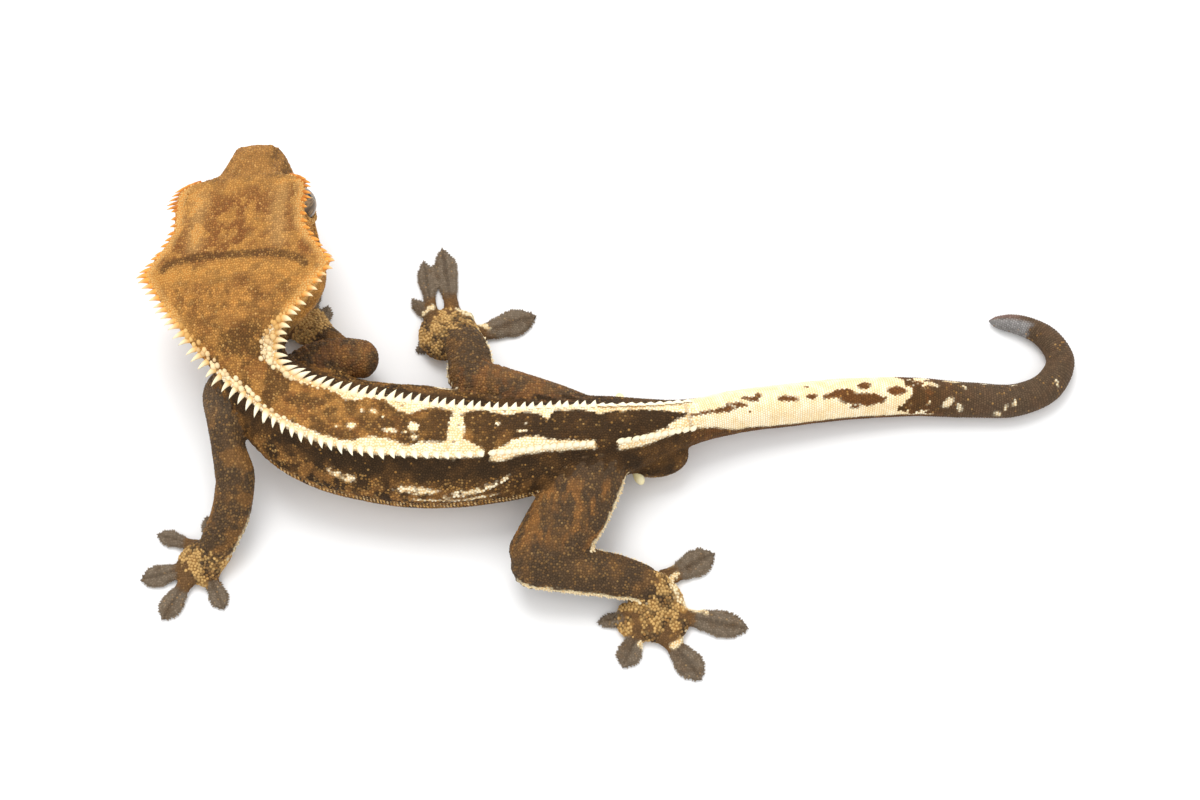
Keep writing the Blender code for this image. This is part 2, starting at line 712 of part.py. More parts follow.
def make_body(parent):
    """Head, neck, trunk and tail."""
    for name, start, end, sections, counts in BODY_PARTS:
        first = start + GAP / 2 if start > 0 else start
        last = end - GAP / 2 if end else body_stations()[0][-1]
        solid = body_length(name, first, last, sections, counts)
        if name == "hips":
            combine(solid, hip_forms(), "UNION")
        if name == "head":
            combine(solid, [eye_rim(1), eye_rim(-1)], "UNION")
            combine(solid, face_cutters(), "DIFFERENCE")
        pieces = crest_spines(first, last)
        if pieces:
            combine(solid, pieces, "UNION")
        finish(solid, parent, OCHRE if name in ("head", "neck") else UMBER)


def make_eyes(parent):
    for name, side in (("eye_left", 1), ("eye_right", -1)):
        solid = ball(name, eye_centre(side), (EYE_RADIUS,) * 3, head_axes())
        finish(solid, parent, EYE_TONE, 0.1)


def trunk_cutter():
    """The trunk with its gap all round, which trims the roots of the limbs."""
    return body_length("trunk_cutter", 30.0, 120.0, 46, (4, 5, 6), GAP)


def make_limbs(parent):
    """Upper arms and thighs, trimmed by the trunk, and forearms and shanks, trimmed by those."""
    upper = None
    for name, stations in LIMBS.items():
        solid = tube(name, stations)
        if name.startswith(("upper", "thigh")):
            cutter = trunk_cutter()
            upper = stations
        else:
            cutter = tube("cutter", upper, grow=GAP)
        combine(solid, [cutter], "DIFFERENCE")
        finish(solid, parent, UMBER)


def make_feet(parent):
    """Palms with their digits, each trimmed by the limb segment that it meets."""
    for name, (limb, palm, digits) in FEET.items():
        solid = tube(name, palm)
        combine(solid, [digit("digit", *sizes) for sizes in digits], "UNION")
        combine(solid, [tube("cutter", LIMBS[limb], grow=GAP)], "DIFFERENCE")
        finish(solid, parent, GREY_BROWN)


def main():
    for item in list(bpy.data.objects):
        bpy.data.objects.remove(item)
    animal = bpy.data.objects.new("animal", None)
    bpy.context.collection.objects.link(animal)
    animal.location = Vector((-FOOTPRINT_MIDDLE[0], -FOOTPRINT_MIDDLE[1], 0)) * MM
    make_body(animal)
    make_eyes(animal)
    make_limbs(animal)
    make_feet(animal)


if __name__ == "__main__":
    main()
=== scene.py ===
"""Looks of the crested gecko: one skin over the whole body, granular scales, spines, toes and eyes.

Sizes and places are in millimetres in the design's own frame, as in the part's source, and MM and
FOOTPRINT_MIDDLE bring them into the part's frame. +X is towards the tail and +Z is up.
"""

import math

import bmesh
import bpy
import numpy as np
from mathutils import Matrix, Vector
from mathutils.bvhtree import BVHTree
from mathutils.kdtree import KDTree

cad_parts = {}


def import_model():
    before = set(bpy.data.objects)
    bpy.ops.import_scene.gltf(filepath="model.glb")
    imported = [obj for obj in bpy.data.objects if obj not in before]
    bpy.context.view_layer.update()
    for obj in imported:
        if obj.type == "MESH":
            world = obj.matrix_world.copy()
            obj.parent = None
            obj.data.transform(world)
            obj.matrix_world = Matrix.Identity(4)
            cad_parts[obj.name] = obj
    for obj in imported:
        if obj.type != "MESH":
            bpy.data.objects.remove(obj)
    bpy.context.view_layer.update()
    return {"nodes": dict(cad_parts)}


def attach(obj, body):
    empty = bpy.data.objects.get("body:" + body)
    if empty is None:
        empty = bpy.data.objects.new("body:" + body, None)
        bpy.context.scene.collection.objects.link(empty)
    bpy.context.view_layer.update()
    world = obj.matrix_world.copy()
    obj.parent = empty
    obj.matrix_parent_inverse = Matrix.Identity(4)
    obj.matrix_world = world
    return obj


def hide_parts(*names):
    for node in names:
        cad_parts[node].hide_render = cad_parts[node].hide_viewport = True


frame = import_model()

MM = 0.001
SEED = 11
FOOTPRINT_MIDDLE = np.array((1.45, -1.8, 0.0))

# Skin colours, linear RGB.
UMBER = (0.042, 0.022, 0.008)
BARK = (0.092, 0.044, 0.013)
CHESTNUT = (0.21, 0.076, 0.019)
TAN = (0.30, 0.138, 0.036)
GOLD = (0.51, 0.255, 0.062)
BRIGHT = (0.75, 0.46, 0.16)
RUST = (0.42, 0.135, 0.022)
ORANGE = (0.80, 0.33, 0.06)
CREAM = (0.88, 0.74, 0.47)
WHITE = (0.93, 0.84, 0.62)
PEACH = (0.80, 0.50, 0.20)
SLATE = (0.100, 0.070, 0.044)
OLIVE = (0.175, 0.132, 0.090)
PALE_GREY = (0.26, 0.245, 0.235)
MAUVE = (0.24, 0.15, 0.13)
BELLY = (0.40, 0.27, 0.155)

# The head's own frame.
HEAD_MIDDLE = (-57.8, 17.6, 14.0)
HEAD_YAW = 88.2
HEAD_PITCH = 3.5
HEAD_ROLL = 14.0

# Sections of the skull: place forward of the head's middle, crown, ridge out, ridge up, flank out,
# flank up, chin, and how far the side bulges.
SKULL = (
    (24.9, 1.3, 1.4, 0.8, 1.6, 0.0, -0.8, 0.1),
    (24.5, 2.5, 2.6, 1.9, 3.1, -0.1, -1.7, 0.3),
    (23.5, 3.5, 3.3, 2.9, 4.2, -0.2, -2.5, 0.3),
    (21.8, 4.4, 3.7, 3.7, 5.1, -0.4, -3.2, 0.3),
    (19.4, 5.1, 4.4, 4.5, 6.2, -0.7, -3.8, 0.1),
    (17.3, 5.7, 5.8, 5.2, 7.4, -1.0, -4.4, -0.3),
    (15.9, 6.3, 9.4, 6.2, 8.3, -1.3, -4.8, -1.2),
    (14.6, 6.6, 11.0, 6.7, 9.0, -1.6, -5.0, -1.7),
    (12.4, 6.8, 11.6, 6.8, 9.7, -1.9, -5.3, -1.8),
    (9.8, 7.0, 11.5, 6.8, 10.4, -2.1, -5.5, -1.6),
    (7.0, 7.2, 11.7, 6.6, 11.2, -2.4, -5.7, -1.2),
    (4.2, 7.4, 13.3, 6.3, 12.0, -2.7, -5.9, -1.0),
    (1.6, 7.5, 15.3, 6.0, 12.4, -2.8, -6.0, -1.0),
    (-0.2, 7.5, 16.3, 5.8, 12.3, -2.8, -6.0, -1.0),
    (-2.6, 7.4, 14.7, 5.7, 11.4, -2.7, -6.0, -0.8),
    (-5.8, 7.0, 12.0, 5.5, 9.6, -2.3, -5.9, -0.6),
    (-8.8, 6.6, 8.9, 5.3, 7.6, -1.8, -5.7, -0.3),
)
# Sections of the neck and trunk: centre, roll, then the same seven sizes.
TRUNK = (
    ((-57.6, 5.9, 13.2), 10, 6.4, 6.3, 5.1, 6.3, -1.2, -5.7, 0.0),
    ((-57.0, 3.8, 12.3), 7, 6.3, 5.0, 5.1, 6.0, -0.9, -5.8, 0.4),
    ((-55.3, 1.2, 11.3), 2, 6.4, 4.0, 5.4, 6.1, -0.6, -6.0, 0.8),
    ((-52.2, -2.0, 10.1), -2, 6.7, 4.1, 5.8, 7.8, -0.5, -6.5, 1.0),
    ((-47.4, -4.8, 9.1), -4, 7.0, 4.6, 6.2, 9.2, -0.5, -7.0, 1.2),
    ((-42.4, -6.7, 8.6), -6, 7.2, 4.9, 6.5, 9.7, -0.6, -7.3, 1.2),
    ((-36.8, -7.8, 8.3), -6, 7.3, 5.0, 6.6, 10.0, -0.8, -7.5, 1.2),
    ((-30.2, -8.5, 8.2), -6, 7.3, 4.8, 6.6, 10.3, -0.8, -7.5, 1.3),
    ((-23.2, -9.0, 8.2), -6, 7.2, 4.5, 6.5, 9.8, -0.7, -7.4, 1.3),
    ((-16.0, -8.9, 8.1), -6, 7.0, 4.1, 6.4, 8.9, -0.6, -7.0, 1.3),
    ((-6.5, -7.8, 8.0), -5, 6.6, 3.7, 6.0, 7.6, -0.5, -6.3, 1.2),
    ((2.5, -6.9, 7.8), -3, 6.1, 3.4, 5.4, 6.6, -0.6, -5.8, 1.0),
    ((8.6, -5.6, 7.3), -1, 5.2, 2.9, 4.5, 5.3, -0.7, -5.2, 0.6),
)
# The tail: centre, half width and half height.
TAIL = (
    ((14.8, -3.9, 6.5), 3.7, 4.3),
    ((22.2, -1.9, 5.7), 3.5, 3.8),
    ((32.0, -0.2, 4.7), 3.5, 3.6),
    ((42.0, 1.1, 3.9), 3.4, 3.4),
    ((52.5, 1.7, 3.1), 3.2, 3.2),
    ((62.0, 1.3, 2.7), 2.9, 2.9),
    ((69.6, 1.4, 2.5), 2.7, 2.7),
    ((74.9, 4.0, 2.3), 2.6, 2.5),
    ((77.1, 8.7, 2.1), 2.35, 2.3),
    ((74.9, 12.8, 1.9), 2.05, 2.05),
    ((70.9, 15.1, 1.6), 1.7, 1.75),
    ((67.2, 15.8, 1.2), 1.15, 1.3),
    ((65.9, 15.95, 1.0), 0.6, 0.8),
)
TAIL_OVAL = (0.71, 0.71, -0.12, 0.09)
HEADING_REACH = 6.0
BELLY_SQUARENESS = 2.4

EYE_FORWARD = 12.4
EYE_OUT = 8.1
EYE_UP = 2.3
EYE_RADIUS = 3.3
RIM_RADIUS = 3.4
RIM_THICKNESS = 0.62
RIM_OUT = 1.3

MOUTH_CORNER = (3.0, -2.3)
MOUTH_FRONT = (24.4, -0.6)
NOSTRIL = (23.3, 2.8, 1.9)
EAR = (-1.0, 1.4)
BULGES = (((8.6, -8.9, 4.3), (6.0, 3.9, 3.2)), ((8.2, -3.4, 4.3), (6.0, 3.4, 3.0)))
SPURS = (((5.6, -11.4, 4.4), (7.0, -13.9, 3.6)), ((3.6, -1.6, 5.8), (3.1, 1.4, 5.4)))

# Each limb segment: its points with half width and half height, from the root outwards.
LIMBS = {
    "upper_arm_left": (
        ((-57.2, 3.2, 9.2), 4.0, 3.4),
        ((-60.6, -0.2, 9.4), 4.4, 3.7),
        ((-60.9, -4.9, 9.8), 3.3, 3.2),
        ((-60.4, -9.2, 9.9), 2.8, 2.9),
        ((-59.3, -13.6, 8.9), 3.3, 3.1),
    ),
    "forearm_left": (
        ((-59.1, -14.4, 8.4), 3.2, 3.1),
        ((-60.2, -20.2, 5.9), 3.2, 2.8),
        ((-62.2, -24.2, 3.8), 3.0, 2.5),
    ),
    "upper_arm_right": (
        ((-52.5, 1.5, 8.2), 3.4, 3.3),
        ((-47.2, 5.9, 7.9), 3.3, 3.1),
        ((-43.0, 7.0, 7.5), 3.3, 3.1),
        ((-39.6, 6.9, 7.0), 3.3, 3.1),
    ),
    "forearm_right": (
        ((-39.6, 7.0, 3.8), 2.3, 2.3),
        ((-42.8, 9.2, 3.4), 2.4, 2.2),
        ((-45.8, 11.9, 3.0), 2.4, 2.1),
    ),
    "thigh_left": (
        ((0.0, -8.0, 7.6), 5.6, 4.6),
        ((-2.5, -15.6, 7.6), 5.9, 4.6),
        ((-5.9, -21.8, 7.3), 6.2, 4.3),
        ((-9.5, -27.4, 6.6), 5.7, 4.0),
    ),
    "shank_left": (
        ((-10.7, -28.2, 6.2), 4.1, 3.7),
        ((-3.0, -29.2, 5.6), 3.9, 3.3),
        ((3.2, -29.9, 4.6), 3.6, 2.8),
        ((7.0, -30.7, 3.8), 3.1, 2.4),
    ),
    "thigh_right": (
        ((2.0, -6.4, 7.4), 4.3, 4.2),
        ((-7.0, -2.5, 7.4), 4.4, 4.4),
        ((-14.5, 0.3, 7.4), 4.2, 4.2),
        ((-20.4, 2.5, 6.9), 4.1, 3.9),
    ),
    "shank_right": (
        ((-21.4, 4.2, 6.5), 3.9, 3.5),
        ((-21.6, 7.4, 5.6), 3.7, 3.1),
        ((-22.6, 10.6, 4.4), 3.5, 2.7),
    ),
}
# Each foot: the palm's points, and its digits as root, tip and the width of the pad.
FEET = {
    "hand_left": (
        (
            ((-62.6, -25.0, 2.6), 2.9, 2.4),
            ((-64.8, -26.5, 1.6), 3.9, 1.9),
            ((-66.2, -27.9, 1.1), 3.8, 1.4),
        ),
        (
            ((-64.0, -23.6), (-64.7, -18.2), 2.5),
            ((-66.0, -23.6), (-72.9, -21.4), 3.0),
            ((-67.2, -27.4), (-75.1, -29.3), 4.2),
            ((-67.0, -29.0), (-71.2, -36.0), 4.1),
            ((-63.9, -28.0), (-61.1, -34.3), 3.5),
        ),
    ),
    "hand_right": (
        (
            ((-46.8, 12.9, 2.5), 2.5, 2.2),
            ((-48.6, 14.4, 1.6), 3.4, 1.9),
            ((-50.4, 15.8, 1.1), 3.4, 1.5),
        ),
        (
            ((-47.4, 14.0), (-46.0, 19.2), 2.6),
            ((-49.2, 16.2), (-48.6, 23.6), 3.6),
            ((-51.2, 17.4), (-53.6, 24.6), 4.1),
            ((-52.4, 16.0), (-59.6, 18.6), 4.1),
            ((-51.8, 14.2), (-58.2, 11.8), 3.6),
        ),
    ),
    "foot_left": (
        (
            ((8.0, -31.2, 2.9), 3.6, 2.5),
            ((9.2, -33.9, 1.7), 4.9, 2.0),
            ((8.4, -36.7, 1.2), 6.2, 1.6),
            ((8.2, -38.5, 0.9), 5.4, 1.3),
        ),
        (
            ((10.2, -29.4), (18.9, -24.6), 4.9),
            ((12.0, -35.2), (24.2, -37.5), 4.9),
            ((10.6, -38.6), (16.5, -46.0), 5.0),
            ((6.6, -37.4), (3.6, -44.0), 4.4),
            ((5.4, -35.6), (-0.6, -36.4), 2.7),
        ),
    ),
    "foot_right": (
        (
            ((-23.0, 11.4, 3.2), 3.8, 2.6),
            ((-25.2, 13.2, 2.0), 5.4, 2.3),
            ((-26.4, 15.0, 1.4), 4.9, 1.8),
            ((-27.1, 16.3, 1.0), 3.9, 1.4),
        ),
        (
            ((-22.0, 13.2), (-10.7, 17.2), 5.2),
            ((-24.8, 16.8), (-27.0, 29.8), 4.4),
            ((-28.2, 16.8), (-30.1, 27.4), 3.2),
            ((-28.4, 15.8), (-32.0, 20.4), 2.4),
            ((-27.2, 13.2), (-31.0, 10.6), 2.4),
        ),
    ),
}
# A digit from root to tip: part of its length, half width as part of the pad's, half height.
DIGIT = (
    (0.00, 0.80, 1.15),
    (0.22, 0.62, 0.95),
    (0.42, 0.80, 0.70),
    (0.64, 1.00, 0.58),
    (0.82, 0.80, 0.52),
    (0.93, 0.42, 0.45),
    (1.00, 0.12, 0.30),
)

# The skin lies this far under the tops of the scales, in each of a section's seven sizes.
SKIN_DEPTH = 0.09
UNDER_SCALES = SKIN_DEPTH * np.array((1, 1, 1, 1, 0, -1, 0))
SKIN_VOXEL = 0.425
SKIN_SMOOTHING = 5
EYE_SOCKET = 2.75

# Rows of spines along the crests: side (1 is the animal's left), first and last distance from the
# snout, spacing, first and last length, half width.
SPINE_ROWS = (
    (1, 8.5, 13.4, 0.95, 1.9, 1.7, 0.31),
    (1, 14.0, 24.0, 1.20, 0.9, 1.4, 0.33),
    (1, 24.9, 32.2, 1.38, 1.7, 1.7, 0.44),
    (1, 32.9, 47.0, 1.60, 1.9, 2.5, 0.48),
    (1, 47.0, 66.0, 1.65, 2.3, 1.8, 0.50),
    (1, 66.0, 81.5, 1.85, 1.5, 0.7, 0.50),
    (1, 83.5, 99.0, 1.25, 0.38, 0.35, 0.56),
    (1, 103.5, 115.5, 1.25, 0.38, 0.35, 0.56),
    (-1, 8.7, 13.4, 0.95, 1.6, 1.8, 0.31),
    (-1, 14.0, 24.0, 1.20, 0.9, 1.4, 0.33),
    (-1, 24.9, 32.2, 1.38, 1.6, 2.0, 0.44),
    (-1, 32.9, 47.0, 1.32, 2.1, 2.4, 0.54),
    (-1, 47.0, 66.0, 1.45, 2.0, 1.6, 0.52),
    (-1, 66.0, 100.0, 1.40, 1.5, 0.9, 0.52),
    (-1, 101.5, 116.0, 1.55, 0.50, 0.40, 0.80),
)
SPINE_LEAN = 0.22
SPINE_RISE = 0.45
SPINE_BACK = 0.25
# Rows of small tubercles inside the crests: side, first and last distance from the snout, spacing,
# how far in from the ridge and size.
BEAD_ROWS = (
    (1, 33.0, 45.0, 1.00, 0.80, 0.58),
    (1, 34.5, 43.0, 1.25, 1.60, 0.48),
    (1, 45.0, 54.0, 1.30, 0.75, 0.42),
    (-1, 32.5, 47.0, 0.85, 0.85, 0.60),
    (-1, 34.0, 42.0, 0.85, 1.75, 0.54),
    (-1, 35.0, 40.0, 0.90, 2.50, 0.42),
    (-1, 47.0, 60.0, 0.95, 0.85, 0.30),
    (1, 24.5, 33.0, 0.60, 0.55, 0.26),
    (-1, 24.5, 33.0, 0.60, 0.55, 0.26),
    (1, 8.5, 24.0, 0.55, 0.45, 0.22),
    (-1, 8.5, 24.0, 0.55, 0.45, 0.22),
)

# The cream bands along the crests: the side, then distance from the snout, how far the band
# reaches in from the ridge and how far past it.
RIDGE_BANDS = (
    (
        -1,
        ((33.5, 1.2, 0.1), (36.0, 2.3, 0.2), (39.0, 2.1, 0.2), (42.0, 1.1, 0.2), (44.0, 0.7, 0.2)),
        ((47.0, 0.9, 0.2), (50.5, 0.7, 0.2), (53.5, 0.5, 0.2), (56.0, 1.0, 0.2), (58.0, 2.0, 0.2)),
        ((60.5, 1.4, 0.2), (61.8, 0.6, 0.2), (65.0, 0.5, 0.2), (66.0, 1.4, 0.2), (67.5, 2.2, 0.2)),
        ((69.5, 2.9, 0.2), (71.2, 1.9, 0.2), (73.0, 1.0, 0.2), (74.5, 0.8, 0.2), (76.4, 1.2, 0.2)),
        ((78.9, 1.3, 0.2), (81.0, 0.5, 0.2), (83.0, 0.8, 0.2), (85.0, 1.4, 0.2), (86.5, 1.6, 0.2)),
        ((88.0, 1.0, 0.2), (89.5, 1.0, 0.2), (91.2, 1.6, 0.2), (92.4, 2.8, 0.2), (93.6, 1.1, 0.2)),
        ((96.0, 1.0, 0.2), (98.5, 1.1, 0.2), (100.5, 1.8, 0.2), (105.0, 1.3, 0.2), (107.5, 1.2, 0.2)),
        ((110.0, 1.4, 0.2), (113.0, 2.1, 0.2), (116.5, 2.9, 0.2)),
    ),
    (
        1,
        ((38.0, 0.3, 0.1), (40.0, 1.4, 0.1), (42.5, 0.6, 0.2), (44.5, 0.4, 0.2), (47.0, 0.5, 0.2)),
        ((50.5, 0.9, 0.2), (54.5, 1.1, 0.2), (56.5, 0.9, 0.2), (59.5, 0.9, 0.2), (61.5, 1.4, 0.2)),
        ((62.5, 2.0, 0.2), (64.0, 2.5, 0.2), (66.0, 2.2, 0.2), (68.0, 2.1, 0.2), (69.5, 1.4, 0.2)),
        ((71.0, 1.6, 0.2), (72.5, 2.2, 0.2), (75.0, 2.1, 0.2), (77.0, 2.6, 0.2), (79.0, 2.6, 0.2)),
        ((80.5, 1.7, 0.2), (82.0, 0.9, 0.2)),
    ),
    (
        1,
        ((83.0, 0.1, 0.7), (84.5, 0.9, 0.8), (86.5, 1.9, 0.5), (88.0, 2.3, 0.3), (90.5, 2.2, 0.3)),
        ((91.8, 1.6, 0.3), (93.5, 1.1, 0.4), (97.5, 0.8, 0.4), (99.6, 0.5, 0.4)),
    ),
    (
        1,
        ((103.2, 0.1, 0.9), (106.5, 0.3, 0.9), (108.5, 0.6, 0.7), (111.0, 1.0, 0.3)),
        ((113.0, 1.9, 0.0), (116.5, 2.9, 0.0)),
    ),
)
# Cream marks on the back and tail: distance from the snout, how far left of the middle, half
# length, half width and turn in degrees.
CREAM_SPOTS = (
    (77.6, 0.1, 1.25, 4.6, 4),
    (60.5, 1.3, 0.75, 0.60, 0),
    (63.5, -1.8, 0.60, 0.45, 0),
    (61.6, -1.6, 0.30, 0.24, 0),
    (70.7, 0.3, 1.00, 0.80, 20),
    (71.0, 1.9, 0.55, 0.40, 0),
    (66.8, 1.1, 1.00, 0.36, 0),
    (69.4, 1.3, 0.35, 0.22, 0),
    (58.0, 1.9, 0.35, 0.25, 0),
    (59.4, 0.1, 0.25, 0.20, 0),
    (65.4, -1.1, 0.28, 0.20, 0),
    (88.0, 0.6, 0.80, 0.22, 5),
    (88.8, -0.6, 0.35, 0.20, 0),
    (84.4, -0.9, 0.35, 0.25, 0),
)
DARK_SPOTS = (
    (76.9, -2.3, 0.28, 0.22, 0),
    (78.3, -2.6, 0.25, 0.20, 0),
    (77.8, -0.5, 0.22, 0.16, 0),
    (77.3, 2.2, 0.24, 0.20, 0),
    (78.6, 2.5, 0.20, 0.18, 0),
    (76.6, 3.3, 0.20, 0.16, 0),
    (74.0, -3.7, 0.25, 0.18, 0),
    (72.3, -3.2, 0.20, 0.16, 0),
    (68.2, -3.6, 0.24, 0.16, 0),
    (85.6, -3.3, 0.22, 0.16, 0),
)
# Brown marks on the tail, in the same way.
TAIL_MARKS = (
    (117.8, 0.45, 2.8, 0.24, 0),
    (121.4, 0.60, 1.9, 0.42, 2),
    (123.9, 0.25, 1.4, 0.40, 14),
    (126.2, -0.5, 1.3, 0.36, 18),
    (127.6, -0.95, 0.50, 0.46, 0),
    (132.2, 0.20, 1.45, 0.50, 8),
    (136.4, 0.30, 0.90, 0.42, 0),
    (136.0, -1.6, 0.50, 0.14, 0),
    (139.0, 0.5, 0.8, 0.32, 0),
    (141.6, 0.25, 2.2, 0.80, 0),
    (144.8, 1.2, 3.8, 0.95, 4),
    (145.4, -0.95, 1.0, 0.65, 0),
    (150.6, 0.15, 1.5, 0.85, 0),
    (155.0, 1.1, 1.6, 1.2, 0),
    (157.0, 0.2, 1.6, 1.0, 0),
    (143.6, 2.3, 0.8, 0.2, 0),
    (152.4, -2.2, 0.9, 0.25, 0),
    (125.5, 1.6, 0.16, 0.14, 0),
    (129.4, 1.4, 0.14, 0.14, 0),
    (134.2, 1.9, 0.16, 0.14, 0),
)
TAIL_CREAM = (
    (156.8, -1.3, 1.0, 0.42, 20),
    (160.4, -2.3, 1.5, 0.30, 0),
    (159.6, 1.6, 1.0, 0.55, -30),
    (161.6, 2.1, 0.6, 0.35, 30),
    (162.2, -1.2, 0.45, 0.25, 60),
    (166.0, -2.2, 0.8, 0.18, 0),
    (170.9, -2.0, 0.9, 0.18, 0),
    (168.9, 1.8, 0.28, 0.60, 25),
    (170.3, 1.2, 0.25, 0.55, 20),
    (177.8, 0.9, 0.22, 0.65, 15),
    (167.6, 2.5, 0.6, 0.2, 0),
)
# Cream dashes on the flanks: side, then distance from the snout, height, half length, half width
# and turn.
FLANK_DASHES = (
    (1, 59.8, 3.05, 1.3, 0.34, -8),
    (1, 61.9, 2.75, 1.0, 0.42, -8),
    (1, 71.9, 2.3, 2.7, 0.42, 0),
    (1, 78.4, 1.8, 2.0, 0.40, 6),
    (1, 81.6, 2.35, 1.6, 0.36, 14),
    (1, 84.4, 3.0, 1.4, 0.16, 22),
    (1, 74.5, 0.9, 3.0, 0.20, 0),
    (1, 80.5, 1.0, 3.2, 0.20, 6),
    (-1, 65.0, 1.3, 1.7, 0.24, 0),
    (-1, 74.5, 1.6, 2.2, 0.28, 4),
    (-1, 84.0, 2.0, 2.0, 0.30, 8),
)
# The dark bar across the head, as places forward of the head's middle and left of it.
HEAD_BAR = (
    *((0.3, 12.4), (1.1, 12.0), (1.7, 7.0), (1.6, 1.0)),
    *((1.5, -5.0), (1.2, -8.8), (0.2, -11.4), (-0.5, -12.0)),
)
# Cream edges of the feet, as lines seen from above.
WEB_LINES = (
    ((8.8, -27.3), (10.1, -27.1), (11.6, -26.7)),
    ((12.6, -28.4), (11.6, -29.5), (12.0, -31.1), (12.5, -32.8), (14.3, -34.2), (17.2, -34.7)),
    ((14.6, -38.1), (13.3, -39.5), (11.6, -40.8)),
    ((9.7, -41.3), (8.1, -40.7), (6.5, -40.2)),
    ((-23.9, 17.7), (-21.2, 15.9), (-18.8, 14.5)),
    ((-29.6, 17.2), (-28.4, 18.4)),
)
# Rows of small pale points along the edges of limbs: limb, side, first and last part of its
# length, point length and spacing.
LIMB_FRINGES = (
    ("thigh_left", 1, 0.25, 1.0, 0.45, 0.42),
    ("shank_left", 1, 0.15, 1.0, 0.40, 0.42),
    ("shank_left", -1, 0.05, 0.95, 0.40, 0.42),
    ("thigh_right", -1, 0.35, 0.9, 0.30, 0.45),
    ("shank_right", -1, 0.05, 1.0, 0.40, 0.40),
    ("shank_right", 1, 0.0, 0.35, 0.35, 0.40),
    ("forearm_left", 1, 0.5, 1.0, 0.25, 0.45),
)
# Rows of pointed scales along the flanks: height over the flank's edge and length.
FLANK_FRINGES = ((-0.5, 0.42), (0.5, 0.30))
FLANK_FRINGE_ENDS = (51.0, 93.0)
FLANK_FRINGE_SPACING = 0.50
TOE_FRINGE_PART = (0.34, 0.97)
TOE_FRINGE_SPACING = 0.40
TOE_FRINGE_LENGTH = 0.36
# Wrinkled stretches of the limbs, as parts of their length.
WRINKLES = (
    ("thigh_right", 0.70, 1.1),
    ("shank_right", -0.1, 0.55),
    ("shank_left", -0.1, 0.30),
    ("thigh_left", -0.1, 0.25),
    ("upper_arm_left", 0.0, 0.35),
    ("upper_arm_right", 0.2, 0.8),
    ("forearm_left", 0.5, 1.1),
)

# Where one kind of skin gives way to the next, by distance from the snout.
HEAD_END = 33.0
NECK_END = 48.0
CHEST_END = 66
BELLY_END = 88
TAIL_START = 117.0

# Each limb's number among the forms of the body, which is form 0.
FORM_OF = {name: number for number, name in enumerate(LIMBS, start=1)}

# Sizes of the fine forms.
FLOOR_GAP = 0.12
LIP_PLATE_HEIGHT = 0.14
TAIL_RING_SPACING = 0.40
TAIL_SCALE_SPACING = 0.42
CLAW_LENGTH = 0.85
CLAW_RADIUS = 0.21
SPUR_RADIUS = 0.86
SPOT_EDGE = 0.25
LINE_STEP = 0.15
BAKE_PATCH = 0.003

# Colours of the eyes, claws and spurs.
IRIS_DARK = (0.085, 0.052, 0.026)
IRIS_VEIN = (0.33, 0.215, 0.105)
IRIS_RUST = (0.13, 0.065, 0.025)
IRIS_RIM = (0.05, 0.035, 0.025)
PUPIL_EDGE = (0.55, 0.42, 0.24)
PUPIL = (0.004, 0.003, 0.003)
EYE_BACK = (0.30, 0.19, 0.13)
CLAW_HORN = (0.16, 0.12, 0.085)
SPUR_ROOT = (0.86, 0.74, 0.36)
SPUR_PALE = (0.90, 0.82, 0.55)

# Painted shade and highlight: how light a scale's points are painted, by their height: at the root,
# the shoulder and the top.
SCALE_SHADE = ((-0.6, 0.66, 1.0), (0.72, 0.97, 1.06))
TAIL_SHADE = ((-0.6, 0.66, 1.0), (0.66, 0.98, 1.04))
BEAD_SHADE = ((-0.5, 0.35, 1.0), (0.70, 0.92, 1.05))
RIM_SHADE = ((-0.5, 0.35, 1.0), (0.6, 0.9, 1.05))
THORN_SHADE = ((-0.5, 0.2, 1.0), (0.7, 0.9, 1.15))
PLATE_SHADE = ((-0.5, 0.45, 1.0), (0.6, 0.9, 1.05))


# Numbers and curves


def unit(v):
    return v / np.linalg.norm(v, axis=-1, keepdims=True)


def hermite(knots, values, at):
    """Read a smooth curve through values at the knots at each place in at."""
    slopes = np.gradient(values, knots, axis=0)
    left = np.clip(np.searchsorted(knots, at, side="right") - 1, 0, len(knots) - 2)
    width = (knots[left + 1] - knots[left])[:, None]
    t = (at - knots[left])[:, None] / width
    return (
        (1 + 2 * t) * (1 - t) ** 2 * values[left]
        + t * (1 - t) ** 2 * width * slopes[left]
        + t * t * (3 - 2 * t) * values[left + 1]
        + t * t * (t - 1) * width * slopes[left + 1]
    )


def smooth(low, high, value):
    """0 below low, 1 above high, and an even slope between."""
    t = np.clip((value - low) / (high - low), 0, 1)
    return t * t * (3 - 2 * t)


def mix(first, second, part):
    """Blend colours by one part, or by a part for each row."""
    part = np.asarray(part, float)[..., None]
    return np.asarray(first) * (1 - part) + np.asarray(second) * part


def lattice(corner, seed):
    """A fixed random number for each whole-number corner."""
    mask = np.uint64(0xFFFFFFFF)
    x, y, z = (corner[:, i].astype(np.int64).astype(np.uint64) for i in range(3))
    mixed = x * np.uint64(374761393) + y * np.uint64(668265263) + z * np.uint64(2246822519)
    mixed = (mixed + np.uint64(seed * 3266489917)) & mask
    mixed = ((mixed ^ (mixed >> np.uint64(15))) * np.uint64(2246822519)) & mask
    mixed = ((mixed ^ (mixed >> np.uint64(13))) * np.uint64(3266489917)) & mask
    return (mixed ^ (mixed >> np.uint64(16))).astype(float) / 0xFFFFFFFF


